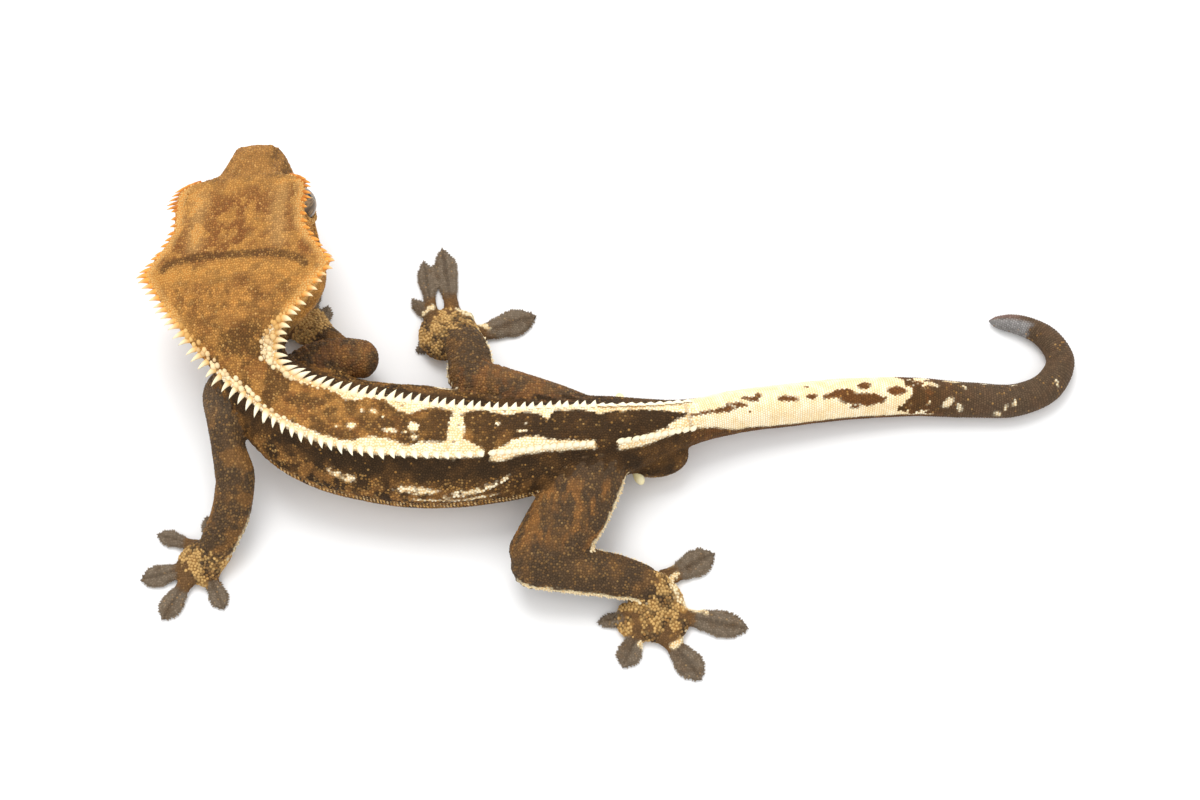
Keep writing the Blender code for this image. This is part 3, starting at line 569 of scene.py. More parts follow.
def noise(points, size, seed=0):
    """Smooth value noise from 0 to 1, with lumps of about the given size in millimetres."""
    scaled = points / size + 1000.0
    base = np.floor(scaled)
    t = scaled - base
    t = t * t * (3 - 2 * t)
    total = np.zeros(len(points))
    for corner in np.ndindex(2, 2, 2):
        weight = np.prod(np.where(corner, t, 1 - t), axis=1)
        total += weight * lattice(base + corner, seed + SEED)
    return total


def cloud(points, size, seed=0):
    """Noise with finer lumps added to it."""
    total = np.zeros(len(points))
    weight = 0.0
    for octave in range(3):
        part = 0.55**octave
        total += part * noise(points, size / 2**octave, seed + 17 * octave)
        weight += part
    return total / weight


def run_along(centres):
    """Distance along a row of points."""
    steps = np.linalg.norm(np.diff(centres, axis=0), axis=1)
    return np.concatenate(([0.0], np.cumsum(steps)))


def read_line(at, run, line):
    """Points at distances along a line whose own points lie at the distances in run."""
    return np.column_stack([np.interp(at, run, column) for column in line.T])


# The form, as in the part


def section_axes(forward, roll):
    """Left and up across sections that face forward, their backs tipped by roll degrees."""
    left = unit(np.cross((0.0, 0.0, 1.0), forward))
    up = np.cross(forward, left)
    turn = np.radians(roll)[..., None]
    return (
        left * np.cos(turn) - up * np.sin(turn),
        up * np.cos(turn) + left * np.sin(turn),
    )


def head_axes():
    yaw, pitch = math.radians(HEAD_YAW), math.radians(HEAD_PITCH)
    level = np.array((math.cos(yaw), math.sin(yaw), 0.0))
    forward = level * math.cos(pitch) - np.array((0, 0, 1.0)) * math.sin(pitch)
    return (forward, *section_axes(forward, np.array(HEAD_ROLL)))


HEAD_AXES = head_axes()


def head_point(forward, out, up):
    """A point of the head, with out to the animal's left."""
    return (
        np.array(HEAD_MIDDLE)
        + HEAD_AXES[0] * forward
        + HEAD_AXES[1] * out
        + HEAD_AXES[2] * up
    )


def in_head(points):
    """Forward, out and up of points in the head's frame."""
    offset = points - np.array(HEAD_MIDDLE)
    return [offset @ axis for axis in HEAD_AXES]


def body_stations():
    """Distance from the snout, and centre, roll and seven sizes, of every station."""
    rows = [(*head_point(row[0], 0, 0), HEAD_ROLL, *row[1:]) for row in SKULL]
    rows += [(*row[0], *row[1:]) for row in TRUNK]
    ridge_out, ridge_up, flank_up, bulge = TAIL_OVAL
    for centre, half_width, half_height in TAIL:
        ridge = (half_width * ridge_out, half_height * ridge_up)
        flank = (half_width, half_height * flank_up)
        rows.append((*centre, 0, half_height, *ridge, *flank, -half_height, half_width * bulge))
    rows = np.array(rows, float)
    return run_along(rows[:, :3]), rows


KNOTS, ROWS = body_stations()
BODY_END = KNOTS[-1]


def body_frames(places):
    """Centre, forward, left, up and sizes of the body's sections at distances from the snout."""
    places = np.asarray(places, float)
    values = hermite(KNOTS, ROWS, places)
    ahead = hermite(KNOTS, ROWS[:, :3], np.maximum(places - HEADING_REACH, 0))
    behind = hermite(KNOTS, ROWS[:, :3], np.minimum(places + HEADING_REACH, BODY_END))
    forward = unit(ahead - behind)
    left, up = section_axes(forward, values[:, 3])
    return values[:, :3], forward, left, up, values[:, 4:]


def half_sections(sizes, counts):
    """Half sections from the middle of the back to the middle of the belly: out and up, by row."""
    crown, ridge_w, ridge_h, flank_w, flank_h, belly, bulge = (sizes[:, i : i + 1] for i in range(7))
    top, side, bottom = counts
    t = (np.arange(top) / top)[None]
    outs = [ridge_w * t]
    ups = [crown + (ridge_h - crown) * t * t]
    t = (np.arange(side) / side)[None]
    outs.append(ridge_w + (flank_w - ridge_w) * t * t * (3 - 2 * t) + bulge * np.sin(np.pi * t))
    ups.append(ridge_h + (flank_h - ridge_h) * t)
    angle = np.linspace(0, np.pi / 2, bottom + 1)[None]
    power = 2 / BELLY_SQUARENESS
    outs.append(flank_w * np.abs(np.cos(angle)) ** power)
    ups.append(flank_h + (belly - flank_h) * np.sin(angle) ** power)
    out, up = np.concatenate(outs, axis=1), np.concatenate(ups, axis=1)
    out[:, -1] = 0
    return out, up


def body_rings(places, counts):
    """Rings of skin points round the body, set in by the depth of the scales."""
    centre, _, left, up, sizes = body_frames(places)
    sizes = sizes - UNDER_SCALES
    sizes[:, 1] = np.maximum(sizes[:, 1], 0.2)
    sizes[:, 3] = np.maximum(sizes[:, 3], 0.3)
    out, high = half_sections(sizes, counts)
    out = np.concatenate((out, -out[:, -2:0:-1]), axis=1)
    high = np.concatenate((high, high[:, -2:0:-1]), axis=1)
    return centre[:, None] + left[:, None] * out[..., None] + up[:, None] * high[..., None]


def ridge_at(places, side):
    """Points on the crest ridge of one side, with the directions out, up and back there."""
    centre, forward, left, up, sizes = body_frames(places)
    out = left * side
    points = centre + out * sizes[:, 1:2] + up * sizes[:, 2:3]
    return points, out, up, -forward


def oval_ring(centre, toward, half_width, half_height, sides):
    left, up = section_axes(np.asarray(toward, float), np.array(0.0))
    angles = np.arange(sides) * 2 * math.pi / sides
    across, high = np.cos(angles) * half_width, np.sin(angles) * half_height
    return centre + left * across[:, None] + up * high[:, None]


# A rounded end: how far past the end and how wide, as parts of the end's own radius.
ROUND_END = ((0.30, 0.96), (0.60, 0.80), (0.82, 0.57), (0.95, 0.31))
TUBE_SPACING = 0.9


def heading(knots, points, at):
    """Directions of a smooth curve through the points at the places in at."""
    return unit(hermite(knots, points, at + 0.1) - hermite(knots, points, at - 0.1))


def tube_rings(stations, sides=28):
    """Rings and end points of a tapered limb with rounded ends."""
    rows = np.array([(*centre, width, height) for centre, width, height in stations], float)
    knots = run_along(rows[:, :3])
    places = np.linspace(0, knots[-1], max(2, round(knots[-1] / TUBE_SPACING)) + 1)
    values = hermite(knots, rows, places)
    toward = heading(knots, rows[:, :3], places)
    halves = values[:, 3:] - SKIN_DEPTH
    rings = [oval_ring(*row, sides) for row in zip(values[:, :3], toward, *halves.T)]
    apexes = []
    for index, direction in ((0, -1), (-1, 1)):
        centre, way = values[index, :3], toward[index] * direction
        radius = min(halves[index])
        cap = [
            oval_ring(centre + way * reach * radius, toward[index], *halves[index] * size, sides)
            for reach, size in ROUND_END
        ]
        rings = cap[::-1] + rings if index == 0 else rings + cap
        apexes.append(centre + way * radius)
    return np.array(rings), *apexes


def digit_rings(root, tip, width, sides=14, count=17):
    """Rings of a toe: a slim stem that widens into a flat leaf-shaped pad."""
    start = np.array((*root, 0.0))
    run = np.array((*tip, 0.0)) - start
    toward = unit(run)
    rows = np.array(DIGIT)
    parts = np.linspace(0, 1, count)
    sizes = hermite(rows[:, 0], rows, parts)
    rings = []
    for part, half_width, half_height in sizes:
        half_width = max(width / 2 * half_width - SKIN_DEPTH, 0.12)
        centre = start + run * part + np.array((0, 0, half_height * 0.8))
        rings.append(oval_ring(centre, toward, half_width, half_height, sides))
    return np.array(rings)


# Meshes


def world(points):
    """Design millimetres to the part's frame in metres."""
    return (np.asarray(points, float) - FOOTPRINT_MIDDLE) * MM


def linked(name, data):
    """A new object with this data, in the scene."""
    made = bpy.data.objects.new(name, data)
    bpy.context.collection.objects.link(made)
    return made


def to_object(name, points, faces):
    mesh = bpy.data.meshes.new(name)
    mesh.from_pydata(world(points).tolist(), [], faces)
    mesh.update()
    return linked(name, mesh)


def joined(parts):
    """Several forms' points and faces as one list of each."""
    points, faces, count = [], [], 0
    for some, loops in parts:
        points.append(some)
        faces += [tuple(i + count for i in loop) for loop in loops]
        count += len(some)
    return np.concatenate(points), faces


def loft_parts(rings, root=None, tip=None):
    """Points and faces of a closed loft, with flat ends or with a point at either end."""
    count, sides = rings.shape[:2]
    points = rings.reshape(-1, 3)
    faces = []
    for i in range(count - 1):
        for j in range(sides):
            k = (j + 1) % sides
            faces.append((i * sides + j, i * sides + k, (i + 1) * sides + k, (i + 1) * sides + j))
    extra = []
    for start, apex in ((0, root), ((count - 1) * sides, tip)):
        ring = list(range(start, start + sides))
        if apex is None:
            faces.append(tuple(ring))
            continue
        extra.append(apex)
        at = len(points) + len(extra) - 1
        faces += [(ring[j], ring[(j + 1) % sides], at) for j in range(sides)]
    if extra:
        points = np.concatenate((points, np.array(extra)))
    return points, faces


def ball_parts(centre, radii, segments=28, rings=18):
    turns = np.linspace(0, 2 * math.pi, segments, endpoint=False)
    tilts = np.linspace(0, math.pi, rings + 1)[1:-1]
    circle = np.stack((np.cos(turns), np.sin(turns), np.zeros(segments)), 1)
    rows = [circle * math.sin(t) + (0, 0, math.cos(t)) for t in tilts]
    centre, radii = np.array(centre), np.array(radii)
    shaped = np.array(rows) * radii + centre
    return loft_parts(shaped, centre + (0, 0, radii[2]), centre - (0, 0, radii[2]))


def rim_parts(side, spokes=48, sides=10):
    """The raised rim of skin round an eye, as a closed ring."""
    out, around, above = eye_facing(side)
    middle = eye_centre(side) + out * RIM_OUT
    turns = np.linspace(0, 2 * math.pi, sides + 1)[:-1]
    points = []
    for angle in np.linspace(0, 2 * math.pi, spokes + 1)[:-1]:
        spoke = around * math.cos(angle) + above * math.sin(angle)
        centre = middle + spoke * RIM_RADIUS
        points += [centre + (spoke * math.cos(a) + out * math.sin(a)) * RIM_THICKNESS for a in turns]
    faces = []
    for i in range(spokes):
        here, ahead = i * sides, (i + 1) % spokes * sides
        for j in range(sides):
            k = (j + 1) % sides
            faces.append((here + j, here + k, ahead + k, ahead + j))
    return np.array(points), faces


def eye_centre(side):
    return head_point(EYE_FORWARD, EYE_OUT * side, EYE_UP)


def eye_facing(side):
    """Out of the eye, and the directions round it and above it."""
    forward, left, up = HEAD_AXES
    out = unit(left * side + forward * 0.25 + up * 0.12)
    around = unit(np.cross(out, up))
    return out, around, np.cross(around, out)


def flank_point(forward, height, side):
    """A point on the side of the head at a place forward of its middle, at one height."""
    sizes = hermite(KNOTS, ROWS, np.array([SKULL[0][0] - forward]))[:, 4:]
    out, up = half_sections(sizes - UNDER_SCALES, (4, 16, 16))
    across = np.interp(-height, -up[0], out[0])
    return head_point(forward, across * side, height)


def skin_parts():
    """Every closed form that the skin is drawn over."""
    places = np.concatenate(([0.02], np.arange(0.3, BODY_END - 0.1, 0.55), [BODY_END]))
    rings = body_rings(places, (9, 10, 14))
    nose = head_point(SKULL[0][0] + 0.25, 0, 0.2)
    end = ROWS[-1, :3] + unit(ROWS[-1, :3] - ROWS[-2, :3]) * 0.6
    parts = [loft_parts(rings, nose, end)]
    for stations in LIMBS.values():
        parts.append(loft_parts(*tube_rings(stations)))
    for palm, digits in FEET.values():
        parts.append(loft_parts(*tube_rings(palm)))
        parts += [loft_parts(digit_rings(*sizes)) for sizes in digits]
    parts += [ball_parts(*sizes) for sizes in BULGES]
    parts += [rim_parts(1), rim_parts(-1)]
    return parts


def evaluated(made, name):
    """The object's mesh with its modifiers applied, as a new object in its place."""
    graph = bpy.context.evaluated_depsgraph_get()
    mesh = bpy.data.meshes.new_from_object(made.evaluated_get(graph))
    bpy.data.objects.remove(made)
    return linked(name, mesh)


def make_skin():
    """One skin over the whole animal."""
    bm = bmesh.new()
    for points, faces in skin_parts():
        points = np.array(points)
        points[:, 2] = np.maximum(points[:, 2], 0.03)
        verts = [bm.verts.new(p) for p in world(points)]
        for face in faces:
            bm.faces.new([verts[i] for i in face])
    bmesh.ops.recalc_face_normals(bm, faces=bm.faces)
    mesh = bpy.data.meshes.new("forms")
    bm.to_mesh(mesh)
    bm.free()
    forms = linked("forms", mesh)
    remesh = forms.modifiers.new("one skin", "REMESH")
    remesh.mode = "VOXEL"
    remesh.voxel_size = SKIN_VOXEL * MM
    ease = forms.modifiers.new("ease", "SMOOTH")
    ease.factor = 0.5
    ease.iterations = SKIN_SMOOTHING
    return evaluated(forms, "skin")


def mesh_points(made):
    """The vertices of an object in design millimetres."""
    points = np.empty(len(made.data.vertices) * 3)
    made.data.vertices.foreach_get("co", points)
    return points.reshape(-1, 3) / MM + FOOTPRINT_MIDDLE


def set_points(made, points):
    made.data.vertices.foreach_set("co", world(points).ravel())
    made.data.update()


def mesh_normals(made):
    normals = np.empty(len(made.data.vertices) * 3)
    made.data.vertices.foreach_get("normal", normals)
    return normals.reshape(-1, 3)


# Where a point is on the body


HEAD, NECK, BACK, TAIL_PART, ARM, LEG, PALM, TOE = range(8)


class Guide:
    """Tells for any point which form it lies on, how far along it is and how far out."""

    def __init__(self):
        self.names = ["body"]
        self.kinds = [BACK]
        self.samples = []
        self.forms = []
        self.frames = []
        self.frame_of = []
        places = np.arange(0, BODY_END, 0.5)
        self.add_body(places, body_rings(places, (5, 6, 7)))
        for name, stations in LIMBS.items():
            self.add_tube(name, ARM if "arm" in name else LEG, tube_rings(stations, 14)[0])
        for name, (palm, digits) in FEET.items():
            self.add_tube(name, PALM, tube_rings(palm, 14)[0])
            for sizes in digits:
                self.add_tube(name, TOE, digit_rings(*sizes, 12, 24))
        for centre, radii in BULGES:
            points = ball_parts(centre, radii, 14, 9)[0]
            near = body_frames(places)[0]
            at = np.argmin(np.linalg.norm(near[None] - points[:, None], axis=2), axis=1)
            self.keep(points, 0, at)
        self.samples = np.concatenate(self.samples)
        self.forms = np.concatenate(self.forms)
        self.frame_of = np.concatenate(self.frame_of)
        self.frames = np.concatenate(self.frames)
        self.tree = KDTree(len(self.samples))
        for i, point in enumerate(self.samples):
            self.tree.insert(point, i)
        self.tree.balance()

    def keep(self, points, form, frame_of):
        self.samples.append(points)
        self.forms.append(np.full(len(points), form))
        self.frame_of.append(frame_of)

    def add_frames(self, rings, centres, along, left, up, places, half_w, half_h):
        first = sum(len(rows) for rows in self.frames)
        columns = (centres, along, left, up, places, places / places[-1], half_w, half_h)
        self.frames.append(np.column_stack(columns))
        self.keep(
            rings.reshape(-1, 3),
            len(self.names) - 1,
            np.repeat(first + np.arange(len(rings)), rings.shape[1]),
        )

    def add_body(self, places, rings):
        centre, forward, left, up, sizes = body_frames(places)
        self.add_frames(rings, centre, -forward, left, up, places, sizes[:, 3], sizes[:, 0])

    def add_tube(self, name, kind, rings):
        self.names.append(name)
        self.kinds.append(kind)
        centres = rings.mean(axis=1)
        along = unit(np.gradient(centres, axis=0))
        left, up = section_axes(along, np.zeros(len(along)))
        spans = rings - centres[:, None]
        half_w = np.abs((spans * left[:, None]).sum(2)).max(1)
        half_h = np.abs((spans * up[:, None]).sum(2)).max(1)
        self.add_frames(rings, centres, along, left, up, run_along(centres), half_w, half_h)

    def read(self, points):
        """Arrays for the points: form, kind, place along it, out to its left and height."""
        nearest = np.array([self.tree.find(point)[1] for point in points])
        form = self.forms[nearest]
        rows = self.frames[self.frame_of[nearest]]
        centre, along, left, up = (rows[:, i : i + 3] for i in (0, 3, 6, 9))
        place = rows[:, 12] + ((points - centre) * along).sum(1)
        on_body = form == 0
        body_place = np.clip(np.where(on_body, place, 60), 0, BODY_END)
        middle, forward, body_left, body_up, sizes = body_frames(body_place)
        pick = on_body[:, None]
        centre = np.where(pick, middle, centre)
        along = np.where(pick, -forward, along)
        offset = points - centre
        kind = np.array(self.kinds)[form]
        kind[on_body & (place < HEAD_END)] = HEAD
        kind[on_body & (place >= HEAD_END) & (place < NECK_END)] = NECK
        kind[on_body & (place >= TAIL_START)] = TAIL_PART
        return {
            "p": points,
            "form": form,
            "kind": kind,
            "body": on_body,
            "place": place,
            "part": np.where(on_body, place / BODY_END, rows[:, 13]),
            "out": (offset * np.where(pick, body_left, left)).sum(1),
            "high": (offset * np.where(pick, body_up, up)).sum(1),
            "half_w": np.where(on_body, sizes[:, 3], rows[:, 14]),
            "half_h": np.where(on_body, sizes[:, 0], rows[:, 15]),
            "ridge_w": sizes[:, 1],
            "ridge_h": sizes[:, 2],
            "flank_h": sizes[:, 4],
            "along": along,
        }


# Markings


def ragged(info, size, seed, amount):
    """Uneven edges for a marking, in millimetres."""
    return (cloud(info["p"], size, seed) - 0.5) * 2 * amount


def ridge_band(info, rows, side, seed):
    """How fully a pale band along one ridge covers each point."""
    stations = np.array([station for row in rows for station in row])
    place = info["place"]
    inner = np.interp(place, stations[:, 0], stations[:, 1])
    outer = np.interp(place, stations[:, 0], stations[:, 2])
    inward = info["ridge_w"] - info["out"] * side
    wobble = ragged(info, 0.9, seed, 0.32)
    below = info["ridge_h"] - info["high"]
    past = np.where(inward < 0, np.maximum(-inward, below * 0.8), -inward)
    cover = smooth(0.16, -0.16, inward - inner + wobble)
    cover *= smooth(0.16, -0.16, past - outer - 0.15 + wobble * 0.4) * smooth(1.5, 1.0, below)
    first, last = stations[0, 0], stations[-1, 0]
    cover *= smooth(-0.25, 0.25, place - first + wobble) * smooth(0.25, -0.25, place - last + wobble)
    return cover * info["body"]


def spot(info, row, seed, across="out"):
    """How fully an oval mark covers each point."""
    at, middle, half_length, half_width, turn = row
    a = math.radians(turn)
    dx = info["place"] - at
    dy = info[across] - middle
    u = (dx * math.cos(a) + dy * math.sin(a)) / half_length
    v = (-dx * math.sin(a) + dy * math.cos(a)) / half_width
    size = min(half_length, half_width)
    reach = np.sqrt(u * u + v * v) + ragged(info, 0.8, seed, 0.30) / max(size, 0.3)
    blur = SPOT_EDGE / max(size, 0.3) * 0.5
    return smooth(1 + blur, 1 - blur, reach) * info["body"]


def cover_of(info, rows, seed):
    return np.max([spot(info, row, seed) for row in rows], axis=0)


def near_line(points, line):
    """Distance of points from a line through the given places."""
    line = np.array(line, float)
    run = run_along(line)
    fine = read_line(np.arange(0, run[-1] + LINE_STEP / 2, LINE_STEP), run, line)
    return np.linalg.norm(points[:, None] - fine[None], axis=2).min(1)


def head_colour(info):
    """Golden brown with a dark bar, a redder crown and paler edges."""
    p = info["p"]
    forward, out, up = in_head(p)
    wide = np.abs(out)
    crest = info["ridge_w"]
    colour = mix(TAN, GOLD, smooth(0.22, 0.52, cloud(p, 2.4, 1)))
    inner = smooth(0.4, 2.6, crest - wide)
    crown = smooth(-1, 2, forward) * smooth(17, 11, forward) * inner
    colour = mix(colour, CHESTNUT, crown * (0.18 + 0.72 * smooth(0.36, 0.56, cloud(p, 1.5, 2))))
    nape = smooth(-1, -4, forward) * smooth(0.5, 4.0, crest - wide)
    colour = mix(colour, BARK, nape * smooth(0.40, 0.62, cloud(p, 1.2, 3)) * 0.62)
    colour = mix(colour, CHESTNUT, nape * 0.25 * smooth(0.35, 0.6, cloud(p, 0.9, 4)))
    colour = mix(colour, RUST, nape * 0.12)
    colour = mix(colour, CHESTNUT, nape * smooth(-6, -14, forward) * 0.25)
    margin = smooth(2.6, 0.9, crest - wide + ragged(info, 1.6, 5, 0.5)) * smooth(17, 14, forward)
    colour = mix(colour, BRIGHT, margin * 0.55)
    lane = np.exp(-(((wide - 7.2 - ragged(info, 2.0, 6, 0.8)) / 1.5) ** 2))
    lane *= smooth(1, 4, forward) * smooth(16, 13, forward)
    colour = mix(colour, BRIGHT, lane * 0.38)
    snout = smooth(14.5, 17.5, forward)
    colour = mix(colour, TAN, snout * 0.80)
    colour = mix(colour, BARK, snout * smooth(0.45, 0.70, cloud(p, 2.0, 7)) * 0.7)
    near = (np.abs(out) < 15) & (np.abs(forward) < 4)
    bar = np.zeros(len(p))
    if near.any():
        flat = np.column_stack((forward, out))[near] + ragged(info, 1.2, 8, 0.22)[near][:, None]
        bar[near] = smooth(0.95, 0.45, near_line(flat, HEAD_BAR)) * smooth(4.0, 5.0, up[near])
    colour = mix(colour, CHESTNUT, bar * 0.55)
    colour = mix(colour, BARK, bar * 0.70)
    low = smooth(4.2, 1.4, up) * smooth(0.6, -0.4, crest - wide)
    side = mix(BARK, TAN, smooth(0.35, 0.70, cloud(p, 1.9, 9)))
    colour = mix(colour, side, low * smooth(20, 13, forward))
    throat = smooth(-2.2, -4.2, up)
    return mix(colour, mix(BELLY, TAN, cloud(p, 2.0, 10)), throat * 0.8)


def trunk_colour(info):
    """Golden brown back that darkens to the hips, dark upper flanks and golden lower ones."""
    p, place, high = info["p"], info["place"], info["high"]
    back = mix(CHESTNUT, GOLD, 0.25 + smooth(0.36, 0.66, cloud(p, 1.4, 21)) * 0.45)
    back = mix(back, BARK, smooth(0.38, 0.58, cloud(p, 1.9, 22)) * 0.80)
    dark = smooth(60, 74, place)
    hips = smooth(78, 92, place)
    back = mix(back, BARK, dark * smooth(0.36, 0.52, cloud(p, 3.0, 23)) * 0.8)
    back = mix(back, UMBER, dark * 0.25 + hips * 0.62)
    flank = mix(UMBER, BARK, smooth(0.35, 0.70, cloud(p, 2.6, 24)) * 0.75)
    low = smooth(4.4, 1.8, high + ragged(info, 2.2, 25, 1.4))
    gold = low * smooth(0.38, 0.62, cloud(p, 1.5, 26))
    gold *= np.interp(place, (46, 52, 66, 80, 100), (0.5, 0.8, 0.7, 0.4, 0.15))
    flank = mix(flank, TAN, gold)
    belly = smooth(-2.6, -4.8, high)
    flank = mix(flank, mix(BELLY, TAN, cloud(p, 1.6, 27) * 0.5), belly)
    inward = info["ridge_w"] - np.abs(info["out"])
    edge = smooth(-0.15, 0.15, inward + ragged(info, 1.0, 28, 0.15))
    return mix(flank, back, edge * smooth(1.6, 1.0, info["ridge_h"] - high))


def tail_colour(info):
    """Cream above with a broken brown line that spreads until the curled end is all brown."""
    p, place, out, high = info["p"], info["place"], info["out"], info["high"]
    brown = mix(BARK, CHESTNUT, smooth(0.3, 0.75, cloud(p, 1.6, 41)) * 0.45)
    brown = mix(brown, SLATE, smooth(152, 168, place) * 0.70)
    cream = mix(CREAM, WHITE, smooth(0.35, 0.65, cloud(p, 1.3, 42)))
    left_edge = np.interp(place, (115, 118, 123, 130, 160), (3.4, 2.5, 0.8, 0.1, 0.1))
    right_edge = np.interp(place, (114, 116, 118, 121, 126), (3.2, 2.2, 1.0, 0.2, 0.0))
    edge = np.where(out > 0, left_edge, right_edge)
    top = smooth(-0.25, 0.25, high - edge + ragged(info, 0.9, 43, 0.3))
    spread = smooth(-0.35, 0.35, place - 153.5 + ragged(info, 1.5, 44, 8.0))
    marks = np.maximum(cover_of(info, TAIL_MARKS, 45), spread)
    marks = np.minimum(marks, 1 - cover_of(info, TAIL_CREAM, 46) * 0.9)
    colour = mix(brown, cream, top * (1 - marks))
    colour = mix(colour, mix(brown, CHESTNUT, 0.45 * (1 - spread)), top * marks)
    under = smooth(-0.4, -0.75, high / info["half_h"])
    colour = mix(colour, TAN, under * 0.5)
    across = out / np.maximum(info["half_w"], 0.5)
    tip = smooth(189.6, 190.6, place + ragged(info, 0.8, 47, 0.8)) * smooth(0.35, -0.25, across)
    colour = mix(colour, PALE_GREY, tip)
    rosy = smooth(191, 194.5, place) * smooth(0.0, 0.4, across)
    return mix(colour, MAUVE, rosy * 0.7)


def limb_colour(info):
    """Dark brown with orange-gold patches, golden palms and grey-brown toe pads."""
    p, kind = info["p"], info["kind"]
    colour = mix(UMBER, BARK, 0.30 + 0.60 * smooth(0.3, 0.7, cloud(p, 2.4, 61)))
    colour = mix(colour, SLATE, 0.40)
    patch = smooth(0.50, 0.66, cloud(p, 3.0, 62))
    colour = mix(colour, TAN, patch * np.where(kind == ARM, 0.45, 0.25))
    grey = (kind == ARM) * smooth(-8, -2, p[:, 1]) * (p[:, 0] < -50)
    colour = mix(colour, SLATE, grey * 0.8)
    palm = (kind == PALM) * smooth(0.36, 0.52, cloud(p, 1.7, 63))
    colour = mix(colour, BRIGHT, palm * 0.62)
    toe = (kind == TOE) * smooth(0.22, 0.36, info["part"] + ragged(info, 1.0, 64, 0.08))
    colour = mix(colour, TAN, (kind == TOE) * (1 - smooth(0.3, 0.44, info["part"])) * 0.25)
    pad = mix(OLIVE, BARK, smooth(0.45, 0.8, cloud(p, 1.2, 65)) * 0.45)
    rib = smooth(0.30, 0.05, np.abs(info["out"]) / np.maximum(info["half_w"], 0.4))
    pad = mix(pad, UMBER, rib * 0.45)
    colour = mix(colour, pad, toe)
    streak = smooth(0.46, 0.64, cloud(p * (1.7, 0.6, 1), 2.0, 66))
    streak *= smooth(-14, -17, p[:, 1]) * smooth(-28, -25, p[:, 1])
    streak *= info["form"] == FORM_OF["thigh_left"]
    colour = mix(colour, mix(RUST, GOLD, 0.45), streak * 0.34)
    rosy = np.isin(info["form"], (FORM_OF["thigh_right"], FORM_OF["upper_arm_right"]))
    colour = mix(colour, RUST, rosy * smooth(0.42, 0.62, cloud(p, 1.2, 67)) * 0.16)
    web = np.zeros(len(p))
    feet = np.isin(kind, (PALM, TOE))
    uneven = ragged(info, 0.6, 68, 0.5)[feet]
    for line in WEB_LINES:
        gap = near_line(p[feet][:, :2], line)
        web[feet] = np.maximum(web[feet], smooth(0.62, 0.25, gap + uneven))
    colour = mix(colour, CREAM, web * 0.85)
    return mix(colour, CREAM, fringe_cover(info) * 0.9)


def fringe_cover(info):
    """How fully the pale lines along the edges of the limbs cover each point."""
    total = np.zeros(len(info["p"]))
    reach = info["out"] / np.maximum(info["half_w"], 0.5)
    level = np.abs(info["high"]) / np.maximum(info["half_h"], 0.5)
    for name, side, first, last, length, _ in LIMB_FRINGES:
        here = (info["form"] == FORM_OF[name]) * smooth(0.90, 0.96, reach * side)
        here *= smooth(0.28, 0.12, level + ragged(info, 0.9, 70, 0.22))
        here *= smooth(first - 0.03, first + 0.03, info["part"])
        here *= smooth(last + 0.03, last - 0.03, info["part"])
        total = np.maximum(total, here * min(1, length / 0.4))
    return total


def tint(info):
    """The colour of the skin at each point."""
    place, body = info["place"], info["body"]
    neck = smooth(31.0, 36.0, place + ragged(info, 2.0, 81, 1.5))
    rump = smooth(114.6, 115.6, place)
    colour = mix(head_colour(info), trunk_colour(info), neck)
    colour = mix(colour, tail_colour(info), rump)
    cream = mix(CREAM, WHITE, smooth(0.30, 0.70, cloud(info["p"], 1.3, 82)))
    cover = np.zeros(len(place))
    for number, (side, *rows) in enumerate(RIDGE_BANDS):
        cover = np.maximum(cover, ridge_band(info, rows, side, 83 + number))
    top = smooth(1.8, 1.2, info["ridge_h"] - info["high"])
    spots = cover_of(info, CREAM_SPOTS, 87) * top
    cover = np.maximum(cover, spots)
    for number, (side, *row) in enumerate(FLANK_DASHES):
        mark = spot(info, row, 88 + number, across="high") * (info["out"] * side > 0)
        cover = np.maximum(cover, mark * smooth(0.28, 0.45, cloud(info["p"], 0.9, 89)) * 0.9)
    cover *= 1 - cover_of(info, DARK_SPOTS, 90) * 0.8
    cover *= 1 - rump
    colour = mix(colour, CHESTNUT, smooth(0.02, 0.4, cover) * (1 - cover) * 0.6)
    colour = mix(colour, cream, cover)
    return np.clip(mix(limb_colour(info), colour, body.astype(float)), 0, 1)


def gold_share(info):
    """The share of scales that are golden at each point."""
    kind, place, high = info["kind"], info["place"], info["high"]
    share = np.select(
        [kind == HEAD, kind == NECK, kind == PALM, kind == TOE, kind == ARM, kind == LEG],
        [0.50, 0.45, 0.75, 0.04, 0.40, 0.34],
        0.05,
    )
    share = np.where(kind == BACK, np.interp(place, (47, 70, 92), (0.42, 0.32, 0.08)), share)
    flank = (kind == BACK) | (kind == NECK)
    share = np.where(flank & (high < info["ridge_h"] - 0.6), 0.05, share)
    return np.where((kind == BACK) & (high < 3.6) & (place < BELLY_END), 0.40, share)


# Meshes of many small things


